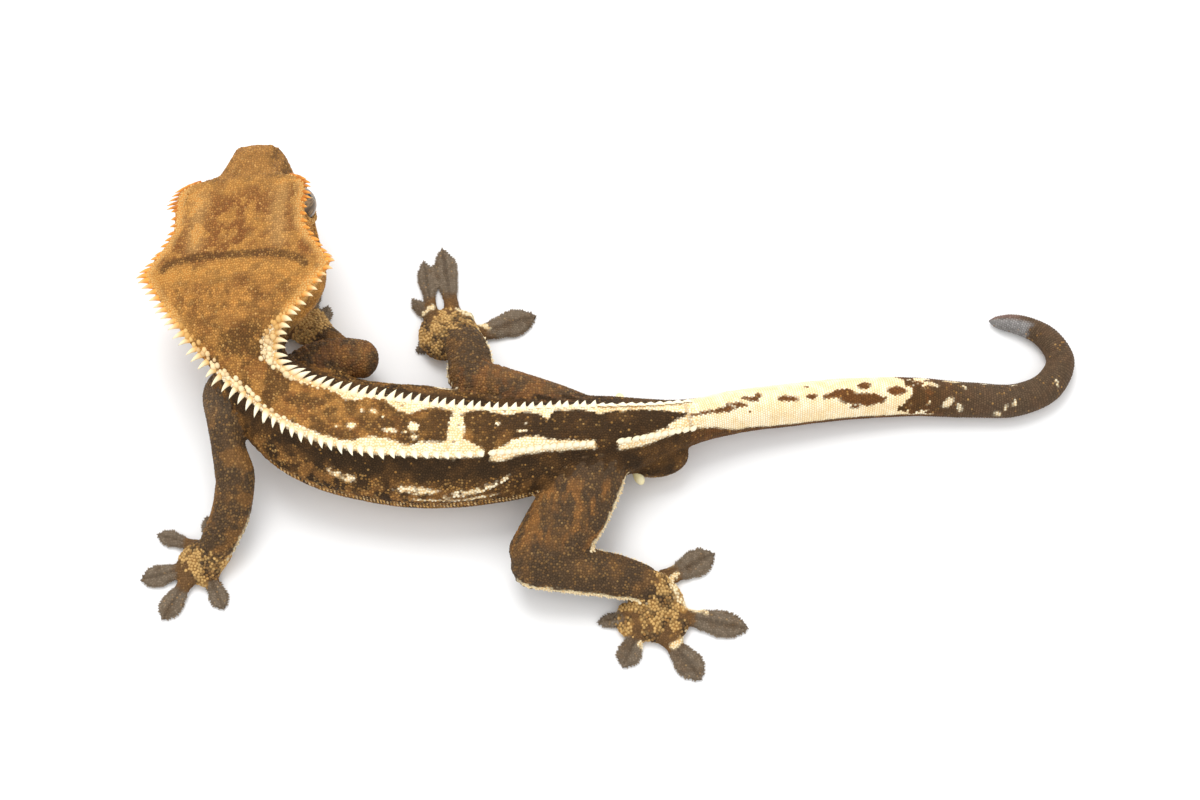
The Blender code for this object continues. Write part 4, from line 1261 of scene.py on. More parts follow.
def scatter(skin, name, chosen, spacing, seed):
    """Points spread evenly over the chosen part of the skin, with the skin's normals there."""
    mesh = skin.data.copy()
    attribute = mesh.attributes.new("chosen", "FLOAT", "POINT")
    attribute.data.foreach_set("value", chosen.astype(np.float32))
    made = linked(name, mesh)
    group = bpy.data.node_groups.new(name, "GeometryNodeTree")
    group.interface.new_socket("Geometry", in_out="INPUT", socket_type="NodeSocketGeometry")
    group.interface.new_socket("Geometry", in_out="OUTPUT", socket_type="NodeSocketGeometry")
    nodes, links = group.nodes, group.links
    entry = nodes.new("NodeGroupInput")
    leave = nodes.new("NodeGroupOutput")
    spread = nodes.new("GeometryNodeDistributePointsOnFaces")
    spread.distribute_method = "POISSON"
    read = nodes.new("GeometryNodeInputNamedAttribute")
    read.data_type = "FLOAT"
    read.inputs["Name"].default_value = "chosen"
    keep = nodes.new("GeometryNodeStoreNamedAttribute")
    keep.data_type = "FLOAT_VECTOR"
    keep.domain = "POINT"
    keep.inputs["Name"].default_value = "way"
    as_mesh = nodes.new("GeometryNodePointsToVertices")
    links.new(entry.outputs[0], spread.inputs["Mesh"])
    links.new(read.outputs["Attribute"], spread.inputs["Density Factor"])
    links.new(spread.outputs["Points"], keep.inputs["Geometry"])
    links.new(spread.outputs["Normal"], keep.inputs["Value"])
    links.new(keep.outputs[0], as_mesh.inputs[0])
    links.new(as_mesh.outputs[0], leave.inputs[0])
    spread.inputs["Distance Min"].default_value = spacing * MM
    spread.inputs["Density Max"].default_value = 8.0 / (spacing * MM) ** 2
    spread.inputs["Seed"].default_value = seed
    made.modifiers.new("scatter", "NODES").node_group = group
    drawn = made.evaluated_get(bpy.context.evaluated_depsgraph_get())
    dots = drawn.to_mesh()
    points, normals = np.empty(len(dots.vertices) * 3), np.empty(len(dots.vertices) * 3)
    dots.vertices.foreach_get("co", points)
    dots.attributes["way"].data.foreach_get("vector", normals)
    drawn.to_mesh_clear()
    bpy.data.objects.remove(made)
    bpy.data.node_groups.remove(group)
    return points.reshape(-1, 3) / MM + FOOTPRINT_MIDDLE, unit(normals.reshape(-1, 3))


def turned(rings, sides):
    """A closed top made of rings, as height and width of each, that ends in a point."""
    turns = np.arange(sides) * 2 * math.pi / sides
    circle = np.stack((np.cos(turns), np.sin(turns), np.zeros(sides)), 1)
    points = [circle * (width, width, 0) + (0, 0, height) for height, width in rings[:-1]]
    points = np.concatenate((*points, [[0, 0, rings[-1][0]]]))
    faces = []
    for i in range(len(rings) - 2):
        for j in range(sides):
            a, b = i * sides + j, i * sides + (j + 1) % sides
            faces += [(a, b, b + sides), (a, b + sides, a + sides)]
    last = (len(rings) - 2) * sides
    faces += [(last + j, last + (j + 1) % sides, len(points) - 1) for j in range(sides)]
    return points, np.array(faces)


SCALE = turned(((-0.6, 1.05), (0.66, 0.74), (1.0, 0.0)), 6)
BEAD = turned(((-0.5, 0.95), (0.35, 0.92), (0.80, 0.55), (1.0, 0.0)), 8)
THORN = turned(((-0.5, 1.15), (0.25, 0.80), (0.7, 0.38), (1.0, 0.0)), 5)
SPIKE = turned(((-0.32, 1.35), (0.0, 1.02), (0.3, 0.76), (0.58, 0.50), (0.82, 0.24), (1.0, 0.0)), 9)
PLATE = turned(((-0.5, 1.02), (0.45, 0.96), (0.85, 0.72), (1.0, 0.0)), 8)


def frame_of(normals, along):
    """Tangents along and across each normal."""
    flat = along - normals * (along * normals).sum(1, keepdims=True)
    weak = np.linalg.norm(flat, axis=1) < 0.05
    flat[weak] = np.cross(normals[weak], (0.3, 0.8, 0.5))
    forward = unit(flat)
    return forward, np.cross(normals, forward)


def map_roots(info):
    """Each point's place on an unwrap of the forms: along and round each, side by side."""
    turn = np.arctan2(info["out"], info["high"]) / (2 * math.pi) + 0.5
    forms, index = np.unique(info["form"], return_inverse=True)
    columns = math.ceil(math.sqrt(len(forms)))
    along = np.zeros(len(turn))
    for number in range(len(forms)):
        mine = index == number
        place = info["place"][mine]
        along[mine] = (place - place.min()) / max(np.ptp(place), 0.1)
    u = (index % columns + 0.04 + 0.92 * along) / columns
    v = (index // columns + 0.04 + 0.92 * turn) / columns
    return np.stack((u, v), 1)


def stamp(name, shape, info, rise, sizes, colours, spin=0.0, bend=0.0):
    """Copies of a small shape, standing along rise at the points of info, as one mesh.

    sizes has half length, half width and height of each, and colours one colour for each of its
    points. bend leans the tops along the form."""
    corners, faces = shape
    count = len(info["p"])
    forward, across = frame_of(rise, info["along"])
    spin = np.broadcast_to(spin, count)[:, None]
    forward, across = (
        forward * np.cos(spin) + across * np.sin(spin),
        across * np.cos(spin) - forward * np.sin(spin),
    )
    long = corners[None, :, 0] * sizes[:, 0:1]
    lean = bend * np.maximum(corners[None, :, 2], 0) ** 2 * sizes[:, 2:3]
    placed = info["p"][:, None] + forward[:, None] * (long + lean)[..., None]
    placed = placed + across[:, None] * (corners[None, :, 1] * sizes[:, 1:2])[..., None]
    placed = placed + rise[:, None] * (corners[None, :, 2] * sizes[:, 2:3])[..., None]
    placed = placed.reshape(-1, 3)
    placed[:, 2] = np.maximum(placed[:, 2], 0.0)
    index = ((np.arange(count) * len(corners))[:, None, None] + faces[None]).reshape(-1, 3)
    mesh = bpy.data.meshes.new(name)
    mesh.vertices.add(len(placed))
    mesh.loops.add(index.size)
    mesh.polygons.add(len(index))
    mesh.vertices.foreach_set("co", world(placed).ravel().astype(np.float32))
    mesh.loops.foreach_set("vertex_index", index.ravel().astype(np.int32))
    mesh.polygons.foreach_set("loop_start", (np.arange(len(index)) * 3).astype(np.int32))
    mesh.polygons.foreach_set("use_smooth", np.ones(len(index), bool))
    mesh.update()
    paint(mesh, colours.reshape(-1, 3))
    reach = np.abs(corners[:, :2]).max()
    spread = map_roots(info)[:, None] + corners[None, :, :2] / reach * BAKE_PATCH / 2
    spread = np.clip(spread.reshape(-1, 2), 0.0, 1.0)
    layer = mesh.uv_layers.new(name="OFBake")
    layer.data.foreach_set("uv", spread[index.ravel()].ravel().astype(np.float32))
    return linked(name, mesh)


def shaded(colours, shape, shade):
    """A colour for each point of each copy of a shape, with painted shade towards its root and a
    painted highlight towards its top.
    """
    return colours[:, None] * np.interp(shape[0][:, 2], *shade)[None, :, None]


def paint(mesh, colours):
    attribute = mesh.color_attributes.new("tint", "FLOAT_COLOR", "POINT")
    rows = np.ones((len(mesh.vertices), 4), np.float32)
    rows[:, :3] = np.clip(colours, 0, 1)
    attribute.data.foreach_set("color", rows.ravel())


def scale_tints(info, vary):
    """The colour of each scale: the skin's own, with some golden ones among the brown."""
    colour = tint(info)
    count = len(colour)
    bright = colour.max(1)
    brown = smooth(0.50, 0.30, bright)
    lucky = vary.random(count) < gold_share(info)
    golden = mix(GOLD, BRIGHT, vary.random(count) ** 3)
    strength = vary.uniform(0.10, 0.42, count) * np.where(info["body"], 1.0, 0.55)
    strength *= np.where(info["kind"] == PALM, 1.8, 1.0)
    colour = mix(colour, golden, lucky * brown * strength)
    swing = np.where(bright > 0.5, 0.07, 0.24)
    return colour * (1 + vary.uniform(-1, 1, count) * swing)[:, None]


def lay_scales(name, info, normals, radius, height, seed):
    """Granular scales at the points, coloured as the skin is there."""
    vary = np.random.default_rng(SEED + seed)
    count = len(info["p"])
    across = radius * vary.uniform(0.86, 1.12, count)
    sizes = np.stack((across * 1.05, across * 0.97, height * vary.uniform(0.75, 1.25, count)), 1)
    tones = shaded(scale_tints(info, vary), SCALE, SCALE_SHADE)
    return stamp(name, SCALE, info, normals, sizes, tones, spin=vary.uniform(-0.6, 0.6, count))


class Skin:
    """The skin's mesh, and the nearest place on it to any point."""

    def __init__(self, made):
        self.made = made
        self.points = mesh_points(made)
        self.normals = mesh_normals(made)
        mesh = made.data
        faces = [tuple(face.vertices) for face in mesh.polygons]
        self.tree = BVHTree.FromPolygons([Vector(p) for p in self.points], faces)

    def snap(self, points):
        """The nearest places on the skin, its normals there and how far off the points were."""
        hits = [self.tree.find_nearest(Vector(point)) for point in points]
        return (
            np.array([hit[0] for hit in hits]),
            np.array([hit[1] for hit in hits]),
            np.array([hit[3] for hit in hits]),
        )


# Folds and openings in the skin


def refine(made, centres, reach):
    """Divide the faces of the mesh that lie near any of the centres."""
    tree = KDTree(len(centres))
    for i, centre in enumerate(centres):
        tree.insert(Vector(world(centre)), i)
    tree.balance()
    bm = bmesh.new()
    bm.from_mesh(made.data)
    near = {vert for vert in bm.verts if tree.find(vert.co)[2] < reach * MM}
    edges = [edge for edge in bm.edges if edge.verts[0] in near and edge.verts[1] in near]
    bmesh.ops.subdivide_edges(bm, edges=edges, cuts=1, use_grid_fill=True, smooth=0.3)
    bmesh.ops.triangulate(bm, faces=[face for face in bm.faces if len(face.verts) > 4])
    bm.to_mesh(made.data)
    bm.free()


def mouth_line(side):
    """Points along the closed mouth on one side of the head."""
    parts = np.linspace(0, 1, 44)
    forward = MOUTH_CORNER[0] + (MOUTH_FRONT[0] - MOUTH_CORNER[0]) * parts
    height = MOUTH_CORNER[1] + (MOUTH_FRONT[1] - MOUTH_CORNER[1]) * parts
    height += 0.35 * np.sin(parts * math.pi * 1.6)
    return np.array([flank_point(f, h, side) for f, h in zip(forward, height)])


def mouth_points():
    front = [head_point(SKULL[0][0] + 0.2, out, MOUTH_FRONT[1]) for out in np.linspace(-1.4, 1.4, 9)]
    return np.concatenate((mouth_line(1), mouth_line(-1), front))


# The openings' places, which settle_openings moves onto the skin once it is made.
NOSTRILS = [head_point(NOSTRIL[0] + 0.35, NOSTRIL[1] * side, NOSTRIL[2]) for side in (1, -1)]
EARS = [flank_point(EAR[0], EAR[1], side) for side in (1, -1)]


def settle_openings(points):
    """Move the nostrils and ears to the skin's own points that lie nearest to them."""
    for places in (NOSTRILS, EARS):
        near = [np.linalg.norm(points - place, axis=1).argmin() for place in places]
        places[:] = [points[i].copy() for i in near]


def fold_depth(info):
    """Wrinkles across the neck and the joints of the limbs, as heights."""
    p, place, part = info["p"], info["place"], info["part"]
    wave = np.sin(2 * math.pi * (place + ragged(info, 3.0, 101, 0.9)) / 1.15)
    low = info["ridge_h"] - info["high"]
    neck = smooth(32, 36, place) * smooth(54, 48, place) * smooth(1.0, 2.5, low) * info["body"]
    limb = np.zeros(len(p))
    for name, first, last in WRINKLES:
        here = (info["form"] == FORM_OF[name]) * smooth(first, first + 0.12, part)
        limb = np.maximum(limb, here * smooth(last, last - 0.12, part))
    flank = smooth(50, 56, place) * smooth(94, 86, place) * info["body"]
    flank *= smooth(3.2, 1.4, info["high"]) * smooth(-3.4, -1.5, info["high"])
    lumps = (cloud(p * (0.8, 1.6, 1.6), 1.6, 102) - 0.5) * flank * 0.7
    return wave * (neck * 0.07 + limb * 0.10) + lumps * 0.35 + (cloud(p, 3.5, 103) - 0.5) * 0.16


def shape_skin(made, guide):
    """Sockets under the eyes, the mouth, nostrils and ears, and folds."""
    settle_openings(mesh_points(made))
    mouth = mouth_points()
    refine(made, mouth, 0.9)
    refine(made, mouth, 0.45)
    refine(made, NOSTRILS + EARS, 1.5)
    refine(made, NOSTRILS + EARS, 0.9)
    refine(made, [eye_centre(side) + eye_facing(side)[0] * 1.4 for side in (1, -1)], 4.4)
    points, normals = mesh_points(made), mesh_normals(made)
    depth = fold_depth(guide.read(points))
    gap = distance_to(points, mouth, 1.2)
    depth -= 0.30 * np.exp(-((gap / 0.20) ** 2))
    depth += 0.09 * np.exp(-(((gap - 0.42) / 0.22) ** 2))
    for centres, width, pit, rim in ((NOSTRILS, 0.36, 0.75, 0.12), (EARS, 0.62, 0.60, 0.12)):
        gap = distance_to(points, centres, 3.0)
        depth -= pit * np.exp(-((gap / width) ** 2))
        depth += rim * np.exp(-(((gap - width * 2.0) / (width * 0.7)) ** 2))
    points = points + normals * depth[:, None]
    for side in (1, -1):
        centre = eye_centre(side)
        out = eye_facing(side)[0]
        offset = points - centre
        along = offset @ out
        radial = np.linalg.norm(offset - along[:, None] * out, axis=1)
        inside = (along > 0.2) & (radial < EYE_SOCKET) & (np.linalg.norm(offset, axis=1) < 6)
        points[inside] = centre + unit(offset[inside]) * (EYE_RADIUS - 0.35)
    points[:, 2] = np.maximum(points[:, 2], 0.01)
    set_points(made, points)


def distance_to(points, centres, reach):
    """Distance from the nearest centre, or reach where there is none so near."""
    tree = KDTree(len(centres))
    for i, centre in enumerate(centres):
        tree.insert(Vector(centre), i)
    tree.balance()
    middle = np.mean(centres, axis=0)
    wide = np.linalg.norm(np.array(centres) - middle, axis=1).max() + reach
    gap = np.full(len(points), float(reach))
    for i in np.nonzero(np.linalg.norm(points - middle, axis=1) < wide)[0]:
        gap[i] = min(reach, tree.find(points[i])[2])
    return gap


def opening_shade(points):
    """Painted shade in the mouth, nostrils and ears: how light the skin stays at each point, from 0
    in them to 1.
    """
    shade = smooth(0.08, 0.34, distance_to(points, mouth_points(), 1.0)) * 0.75 + 0.25
    shade *= smooth(0.15, 0.50, distance_to(points, NOSTRILS, 1.0)) * 0.85 + 0.15
    return shade * (smooth(0.3, 0.8, distance_to(points, EARS, 1.5)) * 0.7 + 0.3)


# Scales, spines, eyes and claws


def region_pieces(info):
    """Name, chosen points, spacing, height and material slot of each piece of scales."""
    kind, place = info["kind"], info["place"]
    back = kind == BACK
    return (
        ("scales_head", kind == HEAD, 0.34, 0.10, "head_skin"),
        ("scales_neck", kind == NECK, 0.34, 0.10, "neck_skin"),
        ("scales_chest", back & (place < CHEST_END), 0.36, 0.10, "trunk_skin"),
        ("scales_belly", back & (place >= CHEST_END) & (place < BELLY_END), 0.36, 0.10, "trunk_skin"),
        ("scales_hips", back & (place >= BELLY_END), 0.36, 0.10, "trunk_skin"),
        ("scales_arms", kind == ARM, 0.36, 0.10, "limb_skin"),
        ("scales_legs", kind == LEG, 0.37, 0.10, "limb_skin"),
        ("scales_palms", kind == PALM, 0.44, 0.13, "foot_skin"),
        ("scales_toes", kind == TOE, 0.30, 0.07, "foot_skin"),
    )


def off_openings(points):
    """Which points stay clear of the eyes, mouth, nostrils, ears and the floor."""
    keep = points[:, 2] > FLOOR_GAP
    for side in (1, -1):
        offset = points - eye_centre(side)
        keep &= np.linalg.norm(offset, axis=1) > EYE_RADIUS + 0.12
    keep &= distance_to(points, mouth_points(), 0.5) > 0.20
    keep &= distance_to(points, NOSTRILS, 0.8) > 0.46
    return keep & (distance_to(points, EARS, 0.8) > 0.55)


def make_scales(skin, guide, info):
    """One piece of granular scales for each region of the skin but the tail."""
    for seed, (name, chosen, spacing, height, slot) in enumerate(region_pieces(info)):
        points, normals = scatter(skin.made, name, chosen, spacing, seed)
        keep = off_openings(points)
        points, normals = points[keep], normals[keep]
        piece = lay_scales(name, guide.read(points), normals, spacing * 0.68, height, seed)
        dress(piece, skin_material(name), slot)


def make_tail_scales(skin, guide):
    """Rings of small scales round the tail, each ring half a scale on from the last."""
    rows = []
    for number, place in enumerate(np.arange(116.8, BODY_END - 0.4, TAIL_RING_SPACING)):
        ring = body_rings(np.array([place]), (8, 8, 12))[0]
        loop = np.concatenate((ring, ring[:1]))
        run = run_along(loop)
        count = max(6, round(run[-1] / TAIL_SCALE_SPACING))
        at = (np.arange(count) + 0.5 * (number % 2)) / count * run[-1]
        rows.append(read_line(at, run, loop))
    spots, normals, gaps = skin.snap(np.concatenate(rows))
    keep = (gaps < 0.4) & (spots[:, 2] > FLOOR_GAP)
    info = guide.read(spots[keep])
    info["along"] = unit(np.cross(info["along"], normals[keep]))
    vary = np.random.default_rng(SEED + 31)
    ranges = ((0.235, 0.265), (0.200, 0.225), (0.07, 0.10))
    sizes = np.column_stack([vary.uniform(low, high, keep.sum()) for low, high in ranges])
    tones = shaded(scale_tints(info, vary), SCALE, TAIL_SHADE)
    piece = stamp("scales_tail", SCALE, info, normals[keep], sizes, tones)
    dress(piece, skin_material("scales_tail"), "tail_skin")


def spine_rows():
    """Place, side, length and half width of every crest spine."""
    found = []
    for side, start, end, spacing, first, last, half_width in SPINE_ROWS:
        fine = np.linspace(start, end, 60)
        run = run_along(ridge_at(fine, side)[0])
        count = max(2, round(run[-1] / spacing) + 1)
        places = np.interp(np.linspace(0, run[-1], count), run, fine)
        lengths = np.linspace(first, last, count)
        sides, widths = np.full(count, side), np.full(count, half_width)
        found.append(np.column_stack((places, sides, lengths, widths)))
    return np.concatenate(found)


def spine_tints(places):
    """Root-to-tip colours of spines at distances from the snout: orange, then cream to white."""
    root = mix(RUST, ORANGE, smooth(10, 26, places))
    root = mix(root, BRIGHT, smooth(27, 38, places))
    root = mix(root, CREAM, smooth(50, 66, places))
    tip = mix(ORANGE, CREAM, smooth(20, 34, places))
    tip = mix(tip, WHITE, smooth(36, 44, places))
    shift = np.interp(places, (30, 60), (0.12, -0.40))
    blend = smooth(0.0, 0.55, SPIKE[0][None, :, 2] - shift[:, None])[..., None]
    return root[:, None] * (1 - blend) + tip[:, None] * blend


def make_spines(skin, guide):
    """The crest spines, finer and a little uneven, each rooted in the skin."""
    vary = np.random.default_rng(SEED + 41)
    rows = spine_rows()
    count = len(rows)
    places = rows[:, 0] + vary.uniform(-0.12, 0.12, count)
    points, rise, back = (np.empty((count, 3)) for _ in range(3))
    for side in (1, -1):
        mine = rows[:, 1] == side
        points[mine], out, up, back[mine] = ridge_at(places[mine], side)
        rise[mine] = unit(out + up * SPINE_RISE + back[mine] * SPINE_BACK)
    length = rows[:, 2] * vary.uniform(0.88, 1.06, count)
    width = rows[:, 3] * vary.uniform(0.92, 1.08, count)
    info = guide.read(skin.snap(points)[0])
    info["along"] = back
    sizes = np.column_stack((width * 1.12, width * 0.92, length))
    piece = stamp("crest_spines", SPIKE, info, rise, sizes, spine_tints(places), bend=SPINE_LEAN)
    dress(piece, skin_material("crest_spines", roughness=0.42, grain=0.10, bump=0.1), "trunk_skin")


def make_beads(skin, guide):
    """Small pale tubercles inside the crests, and scales between the roots of the spines."""
    vary = np.random.default_rng(SEED + 51)
    roots, size = [], []
    for side, start, end, spacing, inward, wide in BEAD_ROWS:
        fine = np.linspace(start, end, 50)
        run = run_along(ridge_at(fine, side)[0])
        places = np.interp(np.arange(0, run[-1], spacing), run, fine)
        places = places + vary.uniform(-0.15, 0.15, len(places))
        ridge, out, up, _ = ridge_at(places, side)
        shift = inward + vary.uniform(-0.40, 0.40, len(places)) * min(1, wide * 1.6)
        roots.append(ridge - out * shift[:, None] + up * 0.3)
        size.append(np.full(len(places), wide))
    spots, normals, _ = skin.snap(np.concatenate(roots))
    info = guide.read(spots)
    count = len(spots)
    size = np.concatenate(size) * vary.uniform(0.6, 1.15, count)
    sizes = np.column_stack((size * 1.1, size * 0.9, size * 0.95))
    warm = mix(GOLD, BRIGHT, vary.random(count))
    pale = smooth(34, 39, info["place"]) * vary.uniform(0.55, 1.0, count)
    tones = shaded(mix(warm, CREAM, pale), BEAD, BEAD_SHADE)
    piece = stamp("crest_beads", BEAD, info, unit(normals), sizes, tones)
    dress(piece, skin_material("crest_beads", roughness=0.45, grain=0.12), "neck_skin")


def limb_points(vary):
    """Roots, directions and lengths of the small points along the limbs."""
    for name, side, first, last, length, spacing in LIMB_FRINGES:
        rows = np.array([(*centre, width, height) for centre, width, height in LIMBS[name]])
        run = run_along(rows[:, :3])
        at = np.arange(run[-1] * first, run[-1] * last, spacing)
        values = hermite(run, rows, at)
        along = heading(run, rows[:, :3], at)
        left, up = section_axes(along, np.zeros(len(at)))
        out = left * side
        lift = vary.uniform(-0.5, 0.5, len(at))[:, None]
        root = values[:, :3] + out * values[:, 3:4] + up * lift
        yield root, unit(out + up * 0.15 + along * 0.35), np.full(len(at), length)


def flank_points(vary):
    """The same for the pointed scales along the flanks."""
    at = np.arange(*FLANK_FRINGE_ENDS, FLANK_FRINGE_SPACING)
    centre, forward, left, up, sizes = body_frames(at)
    for side in (1, -1):
        out = left * side
        for height, length in FLANK_FRINGES:
            lift = sizes[:, 4:5] + height + vary.uniform(-0.2, 0.2, len(at))[:, None]
            root = centre + out * sizes[:, 3:4] + up * lift
            yield root, unit(out - up * 0.1 - forward * 0.5), np.full(len(at), length)


def toe_points(_):
    """The same for the edges of the toe pads, which lie on opposite points of each ring."""
    sides = 16
    for _, digits in FEET.values():
        for digit in digits:
            rings = digit_rings(*digit, sides, 60)
            centres = rings.mean(axis=1)
            run = run_along(centres)
            at = np.arange(*(run[-1] * part for part in TOE_FRINGE_PART), TOE_FRINGE_SPACING)
            along = unit(centres[-1] - centres[0])
            middle = read_line(at, run, centres)
            for corner in (0, sides // 2):
                edge = read_line(at, run, rings[:, corner])
                way = unit(unit(edge - middle) + along * 0.5)
                yield edge, way, np.full(len(at), TOE_FRINGE_LENGTH)


def limb_point_colour(colour, vary):
    return mix(mix(CREAM, PEACH, vary.random(len(colour)) * 0.6), WHITE, 0.2)


def flank_point_colour(colour, vary):
    golden = mix(TAN, BRIGHT, vary.random(len(colour)))
    return mix(golden, CREAM, 0.35 * (vary.random(len(colour)) > 0.6))


def toe_point_colour(colour, _):
    return colour * 1.25


FRINGES = (
    ("limb_fringe", "limb_skin", limb_points, limb_point_colour),
    ("flank_fringe", "trunk_skin", flank_points, flank_point_colour),
    ("toe_fringe", "foot_skin", toe_points, toe_point_colour),
)


def make_fringes(skin, guide):
    """Small pointed scales along the edges of the limbs, the flanks and the toe pads."""
    place_vary, size_vary = (np.random.default_rng(SEED + number) for number in (61, 62))
    for name, slot, places, colour_of in FRINGES:
        roots, ways, lengths = (np.concatenate(rows) for rows in zip(*places(place_vary)))
        spots, normals, gaps = skin.snap(roots)
        chosen = (gaps < 0.9) & (spots[:, 2] > 0.1)
        info = guide.read(spots[chosen])
        length = lengths[chosen] * size_vary.uniform(0.75, 1.2, chosen.sum())
        sizes = np.column_stack((length * 0.58, length * 0.45, length))
        rise = unit(ways[chosen] + normals[chosen] * 0.25)
        tones = shaded(colour_of(tint(info), size_vary), THORN, THORN_SHADE)
        piece = stamp(name, THORN, info, rise, sizes, tones, bend=0.1)
        dress(piece, skin_material(name, grain=0.15), slot)


def make_lips(skin, guide):
    """Plates along both lips, round the nostrils and at the snout's tip."""
    vary = np.random.default_rng(SEED + 71)
    roots, along, sizes = [], [], []
    for side in (1, -1):
        line = mouth_line(side)
        run = run_along(line)
        for above, length, height in ((1, 0.95, 0.40), (-1, 1.05, 0.42)):
            at = np.arange(0.3, run[-1], length * 1.05)
            roots.append(read_line(at, run, line) + HEAD_AXES[2] * above * 0.50)
            along.append(np.tile(HEAD_AXES[0], (len(at), 1)))
            sizes.append(np.tile((length / 2, height, LIP_PLATE_HEIGHT), (len(at), 1)))
    for out in (-0.8, 0.0, 0.8):
        for above in (0.5, -0.5):
            roots.append([head_point(SKULL[0][0] + 0.3, out, MOUTH_FRONT[1] + above)])
            along.append([HEAD_AXES[1]])
            sizes.append([(0.40, 0.38, 0.13)])
    for centre in NOSTRILS:
        for turn in np.linspace(0, 2 * math.pi, 9)[:-1]:
            spoke = HEAD_AXES[1] * math.cos(turn) * 0.62 + HEAD_AXES[2] * math.sin(turn) * 0.62
            roots.append([centre + spoke])
            along.append([HEAD_AXES[0]])
            sizes.append([(0.24, 0.22, LIP_PLATE_HEIGHT)])
    roots, along, sizes = (np.concatenate(rows) for rows in (roots, along, sizes))
    spots, normals, _ = skin.snap(roots)
    info = guide.read(spots)
    info["along"] = along
    colour = mix(TAN, GOLD, vary.random(len(spots)) * 0.6) * 0.9
    piece = stamp("lip_plates", PLATE, info, normals, sizes, shaded(colour, PLATE, PLATE_SHADE))
    dress(piece, skin_material("lip_plates", grain=0.2), "head_skin")


def make_eye_beads(skin, guide):
    """Two rings of small scales on the rim of each eye."""
    vary = np.random.default_rng(SEED + 73)
    roots = []
    for side in (1, -1):
        out, around, above = eye_facing(side)
        middle = eye_centre(side) + out * RIM_OUT
        for radius, lift, count in ((RIM_RADIUS - 0.28, 0.50, 52), (RIM_RADIUS + 0.16, 0.58, 54)):
            for turn in np.linspace(0, 2 * math.pi, count, endpoint=False):
                spoke = around * math.cos(turn) + above * math.sin(turn)
                roots.append(middle + spoke * radius + out * lift)
    spots, normals, _ = skin.snap(roots)
    size = vary.uniform(0.17, 0.22, len(spots))
    colour = mix(TAN, BRIGHT, vary.random(len(spots)) * 0.8)
    sizes = np.column_stack((size, size, size * 1.2))
    tones = shaded(colour, BEAD, RIM_SHADE)
    piece = stamp("eye_beads", BEAD, guide.read(spots), normals, sizes, tones)
    dress(piece, skin_material("eye_beads", grain=0.15), "head_skin")


def eye_tints(across, high):
    """Iris and pupil colours at places across and up the eye, as parts of its radius."""
    flat = np.column_stack((across, high, np.zeros(len(across)))) * EYE_RADIUS
    reach = np.hypot(across, high)
    turn = np.arctan2(high, across)
    spokes = np.column_stack((np.cos(turn) * 6, np.sin(turn) * 6, reach * 2.2))
    veins = smooth(0.35, 0.75, cloud(spokes, 0.8, 111))
    colour = mix(IRIS_DARK, IRIS_VEIN, veins)
    colour = mix(colour, IRIS_RUST, smooth(0.45, 0.7, cloud(flat, 0.9, 112)) * 0.5)
    colour = mix(colour, IRIS_RIM, smooth(0.74, 0.90, reach))
    slit = 0.045 + 0.055 * np.maximum(np.cos(high * 17), -0.4)
    slit *= smooth(0.66, 0.56, np.abs(high))
    edge = np.abs(across) - slit
    colour = mix(colour, PUPIL_EDGE, smooth(0.05, 0.015, edge) * 0.7)
    return mix(colour, PUPIL, smooth(0.012, -0.006, edge))


def make_eye(side, name):
    """An eyeball with a clear bulge over its iris and an upright crenulated pupil."""
    out, around, above = eye_facing(side)
    centre = eye_centre(side)
    tilts = np.concatenate((np.linspace(0.012, 1.15, 60), np.linspace(1.2, math.pi - 0.03, 26)))
    turns = np.linspace(0, 2 * math.pi, 120, endpoint=False)
    bulge = 1 + 0.035 * smooth(1.0, 0.2, tilts)
    ring = np.cos(turns)[:, None] * around + np.sin(turns)[:, None] * above
    depth, reach = (bulge * wave(tilts) for wave in (np.cos, np.sin))
    rings = centre + EYE_RADIUS * (depth[:, None, None] * out + reach[:, None, None] * ring[None])
    points, faces = loft_parts(rings, centre + out * EYE_RADIUS * bulge[0], centre - out * EYE_RADIUS)
    made = to_object(name, points, faces)
    offset = (points - centre) / EYE_RADIUS
    colours = eye_tints(offset @ around, offset @ above)
    paint(made.data, mix(colours, EYE_BACK, smooth(0.3, 0.1, offset @ out)))
    made.data.shade_smooth()
    material = skin_material(name, roughness=0.35, grain=0.08, bump=0.0)
    shader = material.node_tree.nodes["Principled BSDF"]
    shader.inputs["Coat Weight"].default_value = 0.6
    shader.inputs["Coat Roughness"].default_value = 0.03
    dress(made, material, "eye", "eye_left" if side > 0 else "eye_right")


def make_claws():
    """A small hooked claw at the tip of each toe."""
    parts = []
    for _, digits in FEET.values():
        for root, tip, _ in digits:
            start, end = np.array((*root, 0.0)), np.array((*tip, 0.0))
            toward = unit(end - start)
            base = end - toward * 0.75 + (0, 0, 0.48)
            middle = base + toward * 0.45 + (0, 0, 0.12)
            line = np.array((base, middle, base + toward * CLAW_LENGTH + (0, 0, -0.12)))
            rings = []
            for t in np.linspace(0, 1, 7)[:-1]:
                at = read_line(t * 2, (0, 1, 2), line)[0]
                half = CLAW_RADIUS * (1 - t) ** 0.8
                rings.append(oval_ring(at, toward, half, half * 1.15, 8))
            parts.append(loft_parts(np.array(rings), None, line[-1]))
    made = to_object("claws", *joined(parts))
    made.data.shade_smooth()
    paint(made.data, CLAW_HORN)
    dress(made, skin_material("claws", roughness=0.3, grain=0.2, bump=0.05), "foot_skin")


